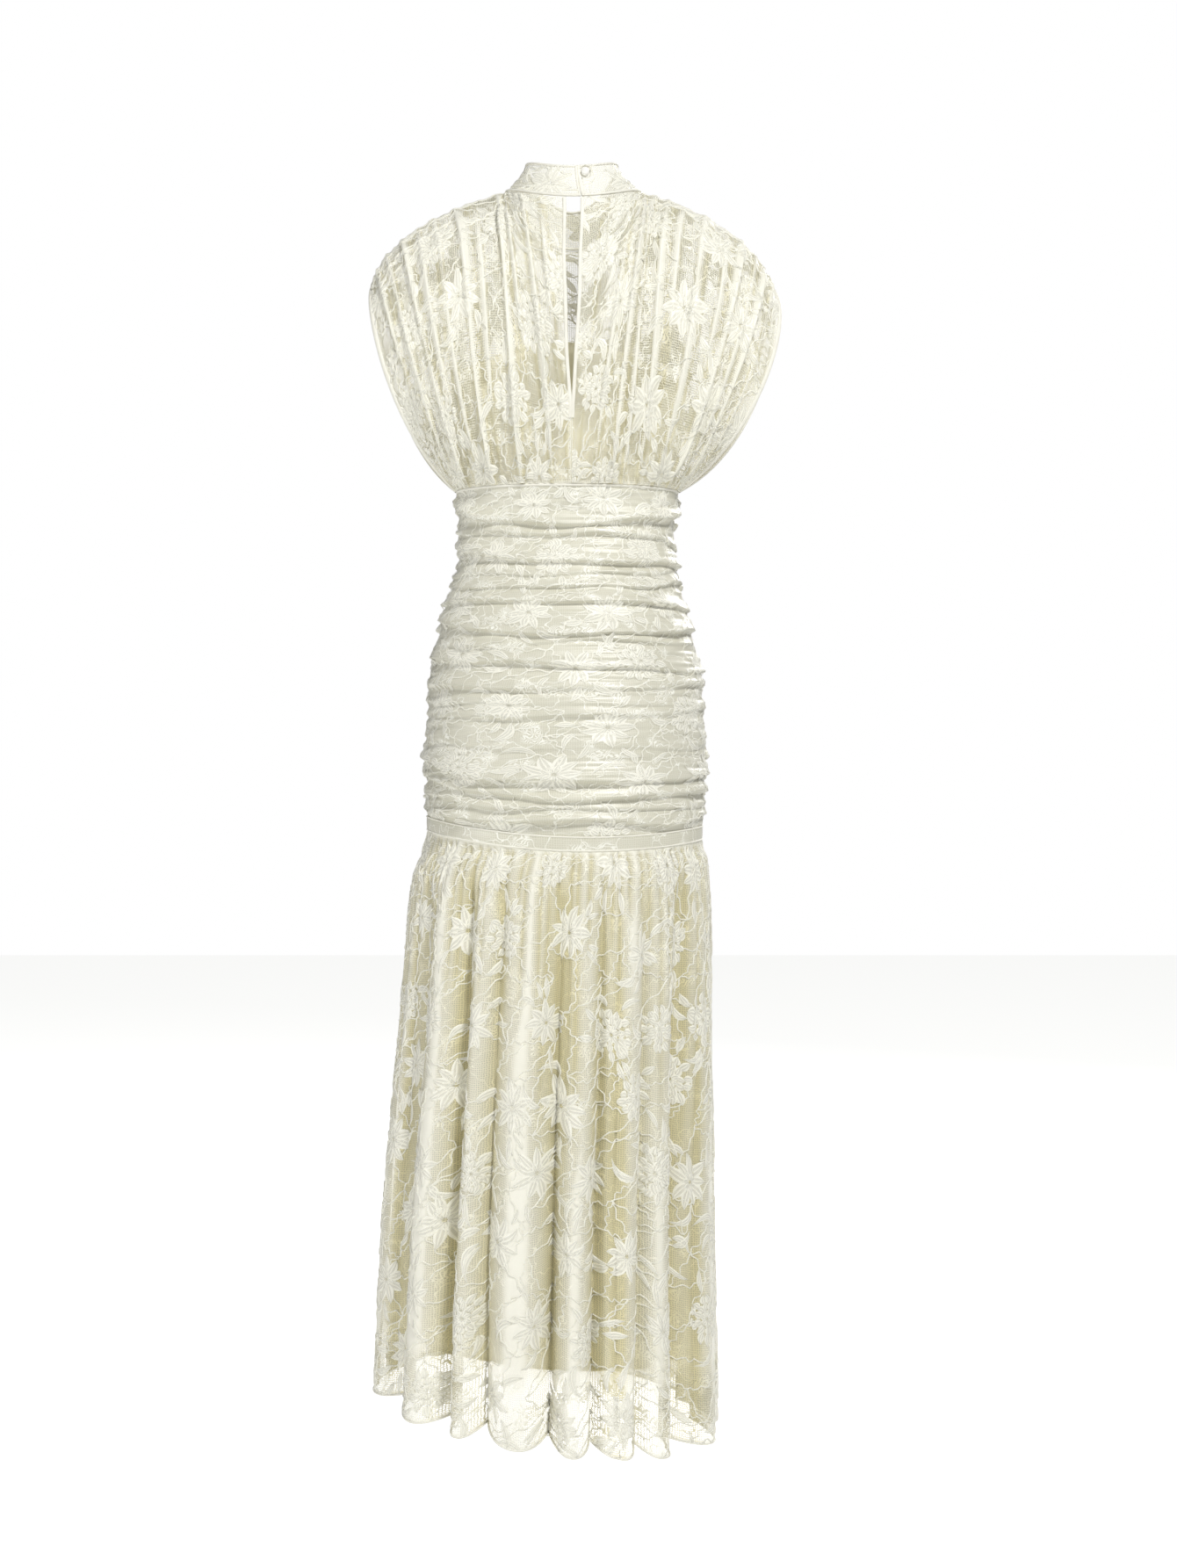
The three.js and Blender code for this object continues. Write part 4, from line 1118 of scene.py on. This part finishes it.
# Flat cuts in millimetres, width by length.
BODICE_CUT = (330.0, 372.0)  # half a back or front
COLLAR_CUT = (400.0, 46.0)
RUCHED_CUT = (450.0, 540.0)
BAND_CUT = (440.0, BAND_HEIGHT)
SKIRT_CUT = (780.0, 665.0)
SKIRT_LINING_CUT = (470.0, 585.0)
BODICE_LINING_CUTS = {BACK: (400.0, 110.0), FRONT: (400.0, 165.0)}

EDGE = 2e-3  # each half is this much short of its side seams, in radians
CENTRE_EDGE = 1e-6  # keeps each back on its own side of the middle


def half(face):
    """The turns between which the back or the front runs."""
    start = 0.0 if face == BACK else np.pi
    return start + EDGE, start + np.pi - EDGE


def bodice_panel(face, u):
    """The part of a bodice between two places across it."""
    width, length = BODICE_CUT
    return Panel(lambda across, down: bodice_surface(face, across, down), u, (width * abs(u[1] - u[0]), length))


def straight(x0, y0, x1, y1, steps):
    """One straight line on a flat cut."""
    return np.stack([np.linspace(x0, x1, steps), np.linspace(y0, y1, steps)], -1)[None]


class DRESS_OT_bodice(bpy.types.Operator):
    """Add the gathered lace bodice: its front and two back panels with their motifs"""

    bl_idname = "dress.bodice"
    bl_label = "Bodice"

    def execute(self, context):
        sizes = context.scene.dress_sizes
        cuts = {
            "back_bodice_left": (BACK, (-1.0, -CENTRE_EDGE)), "back_bodice_right": (BACK, (CENTRE_EDGE, 1.0)),
            "front_bodice": (FRONT, (-1.0, 1.0)),
        }
        for seed, (name, (face, u)) in enumerate(cuts.items(), 1):
            panel = bodice_panel(face, u)

            def dense(x, y, panel=panel, face=face):
                across, down = panel.parameters(x, y)
                ridges = 0.92 * smooth(1.4, 4.2, pleat_height(face, across, down))
                seams = near_edge(np.minimum(y, panel.height - y), 7, 0.8)
                centre = near_edge(np.abs(across) * BODICE_CUT[0], 4, 0.9) * (face == BACK)
                return np.maximum.reduce([ridges, seams, centre, 0 * x + 0.06])

            # Painted shade on the flanks of each pleat, beside its ridge, for the net's colour.
            def fold(x, y, panel=panel, face=face):
                near = pleat_height(face, *panel.parameters(x, y))
                return 0.7 * smooth(0.2, 0.9, near) * (1 - smooth(1.0, 2.6, near))

            columns = 231 if face == FRONT else 151
            sheet = make_sheet(f"{name}_net", panel, columns, 90, {"dense": dense, "fold": fold})
            keep(sheet, net(context), [name])
            motifs = lace_motifs(f"{name}_motifs", panel, seed, sizes)
            keep(motifs, motif(context))
            panel.cut()
        return {"FINISHED"}


class DRESS_OT_edges(bpy.types.Operator):
    """Add the armhole bindings and the strips down the keyhole"""

    bl_idname = "dress.edges"
    bl_label = "Armhole bindings and keyhole facings"

    def execute(self, context):
        sizes = context.scene.dress_sizes
        half_binding = sizes.binding_width / MM / 2
        for name, side in SIDES.items():
            strips = []
            for face in (BACK, FRONT):
                start = -face * side
                panel = bodice_panel(face, (-1.0, 0.0) if start < 0 else (0.0, 1.0))
                x = half_binding * 0.9 if start < 0 else panel.width - half_binding * 0.9
                line = straight(x, 0, x, panel.height * 0.995, 90)
                strips.append(cords(panel, line, half_binding, 1.25, ROLL_SECTION))
            binding = strips_to_mesh(f"armhole_binding_{name}_fold", panel, strips)
            keep(binding, edging(context), [f"armhole_binding_{name}"])
            panel = bodice_panel(BACK, (-1.0, -CENTRE_EDGE) if side == LEFT else (CENTRE_EDGE, 1.0))
            half_facing = sizes.facing_width / MM / 2
            x = panel.width - half_facing if side == LEFT else half_facing
            line = straight(x, 2, x, panel.height * 0.78, 110)
            line[0, :, 0] += 0.5 * np.sin(line[0, :, 1] / 19)
            facing = strips_to_mesh(
                f"placket_{name}_fold", panel, [cords(panel, line, half_facing, 0.8, ROLL_SECTION, lift=0.6)]
            )
            keep(facing, edging(context), [f"placket_{name}"])
        return {"FINISHED"}


class DRESS_OT_collar(bpy.types.Operator):
    """Add the stand collar with its rolled edges"""

    bl_idname = "dress.collar"
    bl_label = "Collar"

    def execute(self, context):
        sizes = context.scene.dress_sizes
        turns = (CLOSURE + 0.01, CLOSURE - 0.01 + 2 * np.pi)
        panel = Panel(collar_surface, turns, COLLAR_CUT)

        def dense(x, y):
            edges = np.minimum(np.minimum(y, panel.height - y), np.minimum(x, panel.width - x))
            return np.maximum(near_edge(edges, 5, 0.9), 0.42)

        sheet = make_sheet("collar_net", panel, 240, 26, {"dense": dense})
        keep(sheet, net(context), ["collar"])
        motifs = lace_motifs("collar_motifs", panel, 14, sizes)
        keep(motifs, motif(context))
        # Top edge, bottom edge, a second line of stitching on the right, and the two ends.
        rolls = [
            cords(panel, straight(*line), half_width, height, ROLL_SECTION)
            for *line, half_width, height in (
                (0, 0.8, 400, 0.8, 240, 1.3, 1.3), (0, 44.5, 400, 44.5, 240, 1.7, 1.5),
                (200, 39, 398, 36, 120, 1.0, 0.9), (1.2, 0, 1.2, 46, 24, 2.4, 1.3),
                (398.8, 0, 398.8, 46, 24, 1.4, 1.2),
            )
        ]
        rolled = strips_to_mesh("collar_rolled_edges", panel, rolls)
        keep(rolled, edging(context))
        return {"FINISHED"}


# The loop's radius, how much further it stands above the button, and half its cord's thickness.
LOOP_RADIUS, LOOP_STRETCH, LOOP_CORD = 6.4, 1.4, 0.8


class DRESS_OT_closure(bpy.types.Operator):
    """Add the button and its loop"""

    bl_idname = "dress.closure"
    bl_label = "Button and loop"

    def execute(self, context):
        colours = context.scene.dress_colours
        low, high = (np.array(corner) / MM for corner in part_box("collar_button"))
        centre, reach = (low + high) / 2, (high - low) / 2
        lean, turn = np.meshgrid(np.linspace(-QUARTER, QUARTER, 25), np.linspace(0, 2 * np.pi, 49))
        dimple = 1 - 0.12 * np.exp(-(((QUARTER - lean) / 0.5) ** 2))
        wide, high = np.cos(lean) * np.cos(turn), np.cos(lean) * np.sin(turn)
        ball = np.stack([wide, np.sin(lean) * dimple, high], -1) * reach + centre
        faces = grid_faces(49, 25)[:, ::-1]
        flat = np.stack([turn, lean + QUARTER], -1)
        button = make_mesh("collar_button_ball", ball, faces, flat, (2 * np.pi, np.pi))
        material = material_named("button_cast_polyester", lambda: button_material(colours))
        keep(button, material, ["collar_button"])
        loop_low, loop_high = (np.array(corner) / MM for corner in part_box("button_loop"))
        swing = np.linspace(np.radians(38), np.radians(322), 60)
        middle = np.array([centre[0], (loop_low[1] + loop_high[1]) / 2, centre[2]])
        rise = (LOOP_RADIUS + LOOP_STRETCH * (np.sin(swing) > 0)) * np.sin(swing)
        ring = np.stack([LOOP_RADIUS * np.cos(swing), -0.12 * rise, rise], -1)
        path = np.concatenate([[(10.5, 0.2, 2.6)], ring, [(10.5, 0.8, -2.6)]]) + middle
        tangent = unit(np.gradient(path, axis=0))
        side = unit(np.cross(tangent, [0.0, 1.0, 0.0]))
        twist = 1 + 0.12 * np.sin(np.arange(len(path)) * 1.3)[:, None, None]
        up = np.cross(side, tangent)
        rim = side[:, None] * np.cos(RING)[:, None] + up[:, None] * np.sin(RING)[:, None]
        points = path[:, None] + LOOP_CORD * twist * rim
        flat = np.stack(np.meshgrid(RING, np.arange(len(path))), -1)
        faces = grid_faces(len(path), len(RING))[:, ::-1]
        loop = make_mesh("button_loop_cord", points, faces, flat, (6.3, len(path)))
        keep(loop, edging(context), ["button_loop"])
        return {"FINISHED"}


class DRESS_OT_hip(bpy.types.Operator):
    """Add the ruched section and the hip band below it"""

    bl_idname = "dress.hip"
    bl_label = "Ruched section and hip band"

    def execute(self, context):
        sizes, colours = settings(context)
        over = sizes, colours.cord
        ground = satin_material("ruched_lace_on_satin", colours.ruched, colours.ruched_light, over)
        for seed, (name, face) in enumerate(FACES.items(), 31):
            panel = Panel(lambda u, v, face=face: ruched_surface(face, u, v), half(face), RUCHED_CUT)
            sheet = make_sheet(f"ruched_{name}_cloth", panel, 120, 320)
            keep(sheet, ground, [f"ruched_{name}"])
            motifs = lace_motifs(f"ruched_{name}_motifs", panel, seed, sizes, lift=0.5, relief=0.3)
            keep(motifs, motif(context))
            line = straight(0, 1.5, panel.width, 1.5, 200)
            lip = strips_to_mesh(f"waist_seam_{name}", panel, [cords(panel, line, 1.6, 1.5, ROLL_SECTION)])
            keep(lip, edging(context))
            band_panel = Panel(band_surface, half(face), BAND_CUT)
            band = solidify(make_sheet(f"hip_band_{name}_cloth", band_panel, 200, 9), 1.0 * MM)
            keep(band, ground, [f"hip_band_{name}"])
            lines = [straight(0, y, band_panel.width, y, 200) for y in (0.6, BAND_HEIGHT - 0.6)]
            rolls = [cords(band_panel, line, 0.9, 0.9, ROLL_SECTION) for line in lines]
            rolled = strips_to_mesh(f"hip_band_{name}_edges", band_panel, rolls)
            keep(rolled, edging(context))
        return {"FINISHED"}


class DRESS_OT_skirt(bpy.types.Operator):
    """Add the gathered lace skirt with its rolled hem"""

    bl_idname = "dress.skirt"
    bl_label = "Lace skirt"

    def execute(self, context):
        sizes = context.scene.dress_sizes
        for seed, (name, face) in enumerate(FACES.items(), 51):
            panel = Panel(skirt_surface, half(face), SKIRT_CUT)

            def dense(x, y, panel=panel):
                seams = near_edge(np.minimum(y, (panel.height - y) * 1.6), 8, 0.85)
                lined = mix(0.62, 0.12, smooth(0.86, 0.92, y / panel.height))
                # Painted highlight: the net is made denser and lighter along the crest of each fold.
                crest = 1 - smooth(0.02, 0.14, skirt_fold(*panel.parameters(x, y)))
                return np.maximum.reduce([seams, lined, lined + 0.36 * crest])

            # Painted shade deep in the folds and gathers, partly the cloth doubling there, for the net's
            # colour.
            def fold(x, y, panel=panel):
                return skirt_fold(*panel.parameters(x, y))

            sheet = make_sheet(f"lace_skirt_{name}_net", panel, 320, 110, {"dense": dense, "fold": fold})
            keep(sheet, net(context), [f"lace_skirt_{name}"])
            motifs = lace_motifs(f"lace_skirt_{name}_motifs", panel, seed, sizes)
            keep(motifs, motif(context))
            roll = sizes.hem_roll / MM / 2
            line = straight(0, panel.height - 0.2, panel.width, panel.height - 0.2, 500)
            rolled = cords(panel, line, roll, roll, ROLL_SECTION)
            hem = strips_to_mesh(f"lace_skirt_{name}_hem", panel, [rolled])
            keep(hem, edging(context))
        return {"FINISHED"}


class DRESS_OT_linings(bpy.types.Operator):
    """Add the strapless bodice lining and the skirt lining"""

    bl_idname = "dress.linings"
    bl_label = "Linings"

    def execute(self, context):
        sizes = context.scene.dress_sizes
        for name, face in FACES.items():
            cuts = {
                "bodice": Panel(bodice_lining_surface, half(face), BODICE_LINING_CUTS[face]),
                "skirt": Panel(skirt_lining_surface, half(face), SKIRT_LINING_CUT),
            }
            for part, panel in cuts.items():
                rows = 14 if part == "bodice" else 40
                sheet = make_sheet(f"{part}_lining_{name}_cloth", panel, 120, rows)
                solidify(sheet, sizes.lining_ply)
                keep(sheet, satin(context), [f"{part}_lining_{name}"])
                y = 0.6 if part == "bodice" else panel.height - 0.6
                line = straight(0, y, panel.width, y, 180)
                rolled = cords(panel, line, 1.1, 0.8, ROLL_SECTION)
                roll = strips_to_mesh(f"{part}_lining_{name}_edge", panel, [rolled])
                keep(roll, satin(context))
                panel.cut()
        return {"FINISHED"}


def area_light(name, place, aim, size, power):
    """A square lamp in metres and watts, turned to its aim by the aim's bearing and height."""
    light = bpy.data.lights.new(name, "AREA")
    light.shape, light.size, light.energy = "SQUARE", size, power
    lamp = bpy.data.objects.new(name, light)
    lamp.location = place
    aim = np.array(aim, float) - place
    yaw, pitch = np.arctan2(-aim[0], aim[1]), np.arctan2(aim[2], np.hypot(aim[0], aim[1]))
    lamp.rotation_euler = (QUARTER + pitch, 0, yaw)
    bpy.context.scene.collection.objects.link(lamp)


class DRESS_OT_stage(bpy.types.Operator):
    """Add the camera, the lights and the floor"""

    bl_idname = "dress.stage"
    bl_label = "Stage"

    def execute(self, context):
        scene = context.scene
        camera = bpy.data.objects.new("camera", bpy.data.cameras.new("camera"))
        camera.data.sensor_width, camera.data.lens = 36, 52.4
        camera.location = (-0.022, 2.6, -0.66)
        camera.rotation_euler = (QUARTER, 0, np.pi)
        scene.collection.objects.link(camera)
        scene.camera = camera
        x, y = np.meshgrid(np.linspace(-9, 9, 3), np.linspace(9, -9, 3))
        low = CAD_BOX[0][2] - 0.14
        points = np.stack([x, y, 0 * x + low], -1) / MM
        floor = make_mesh("floor", points, grid_faces(3, 3), np.stack([x, y], -1), (1, 1))
        floor.data.materials.append(floor_material(scene.dress_colours))
        world = scene.world or bpy.data.worlds.new("studio")
        scene.world = world
        world.use_nodes = True
        tree = world.node_tree
        tree.nodes.clear()
        seen = add(tree, "ShaderNodeBackground", Color=linear("#FFFFFF"), Strength=1.0)
        felt = add(tree, "ShaderNodeBackground", Color=linear("#FBFCFF"), Strength=0.23)
        rays = add(tree, "ShaderNodeLightPath").outputs["Is Camera Ray"]
        both = add(tree, "ShaderNodeMixShader", i0=rays, i1=felt.outputs[0], i2=seen.outputs[0])
        add(tree, "ShaderNodeOutputWorld", Surface=both.outputs[0])
        area_light("key", (-1.3, 2.6, 2.4), (0, 0, -0.8), 0.7, 114)
        area_light("fill", (2.5, 2.0, -0.8), (0, 0, -1.0), 1.0, 24)
        area_light("front", (-1.6, -2.6, 1.2), (0, 0, -0.7), 1.2, 52)
        scene.view_settings.view_transform = "Standard"
        scene.cycles.transparent_max_bounces = 40
        return {"FINISHED"}


class DRESS_PT_panel(bpy.types.Panel):
    """Sizes, colours and the pieces in the order that they are made"""

    bl_idname = "DRESS_PT_panel"
    bl_label = "Fishtail evening dress"
    bl_space_type = "VIEW_3D"
    bl_region_type = "UI"
    bl_category = "Dress"

    def draw(self, context):
        for group in settings(context):
            for name in group.__annotations__:
                self.layout.prop(group, name)
        for operator in OPERATORS:
            self.layout.operator(operator.bl_idname)


OPERATORS = (
    DRESS_OT_stage, DRESS_OT_linings, DRESS_OT_bodice, DRESS_OT_edges, DRESS_OT_collar, DRESS_OT_closure,
    DRESS_OT_hip, DRESS_OT_skirt,
)
CLASSES = (DressSizes, DressColours, *OPERATORS, DRESS_PT_panel)


def register():
    """Registers the classes and hangs the sizes and colours on the scene."""
    for cls in CLASSES:
        bpy.utils.register_class(cls)
    bpy.types.Scene.dress_sizes = bpy.props.PointerProperty(type=DressSizes)
    bpy.types.Scene.dress_colours = bpy.props.PointerProperty(type=DressColours)


def unregister():
    """Takes both away again."""
    del bpy.types.Scene.dress_sizes, bpy.types.Scene.dress_colours
    for cls in reversed(CLASSES):
        bpy.utils.unregister_class(cls)


def main():
    """Makes every piece in order."""
    register()
    for operator in OPERATORS:
        group, name = operator.bl_idname.split(".")
        getattr(getattr(bpy.ops, group), name)()


if __name__ == "__main__":
    main()
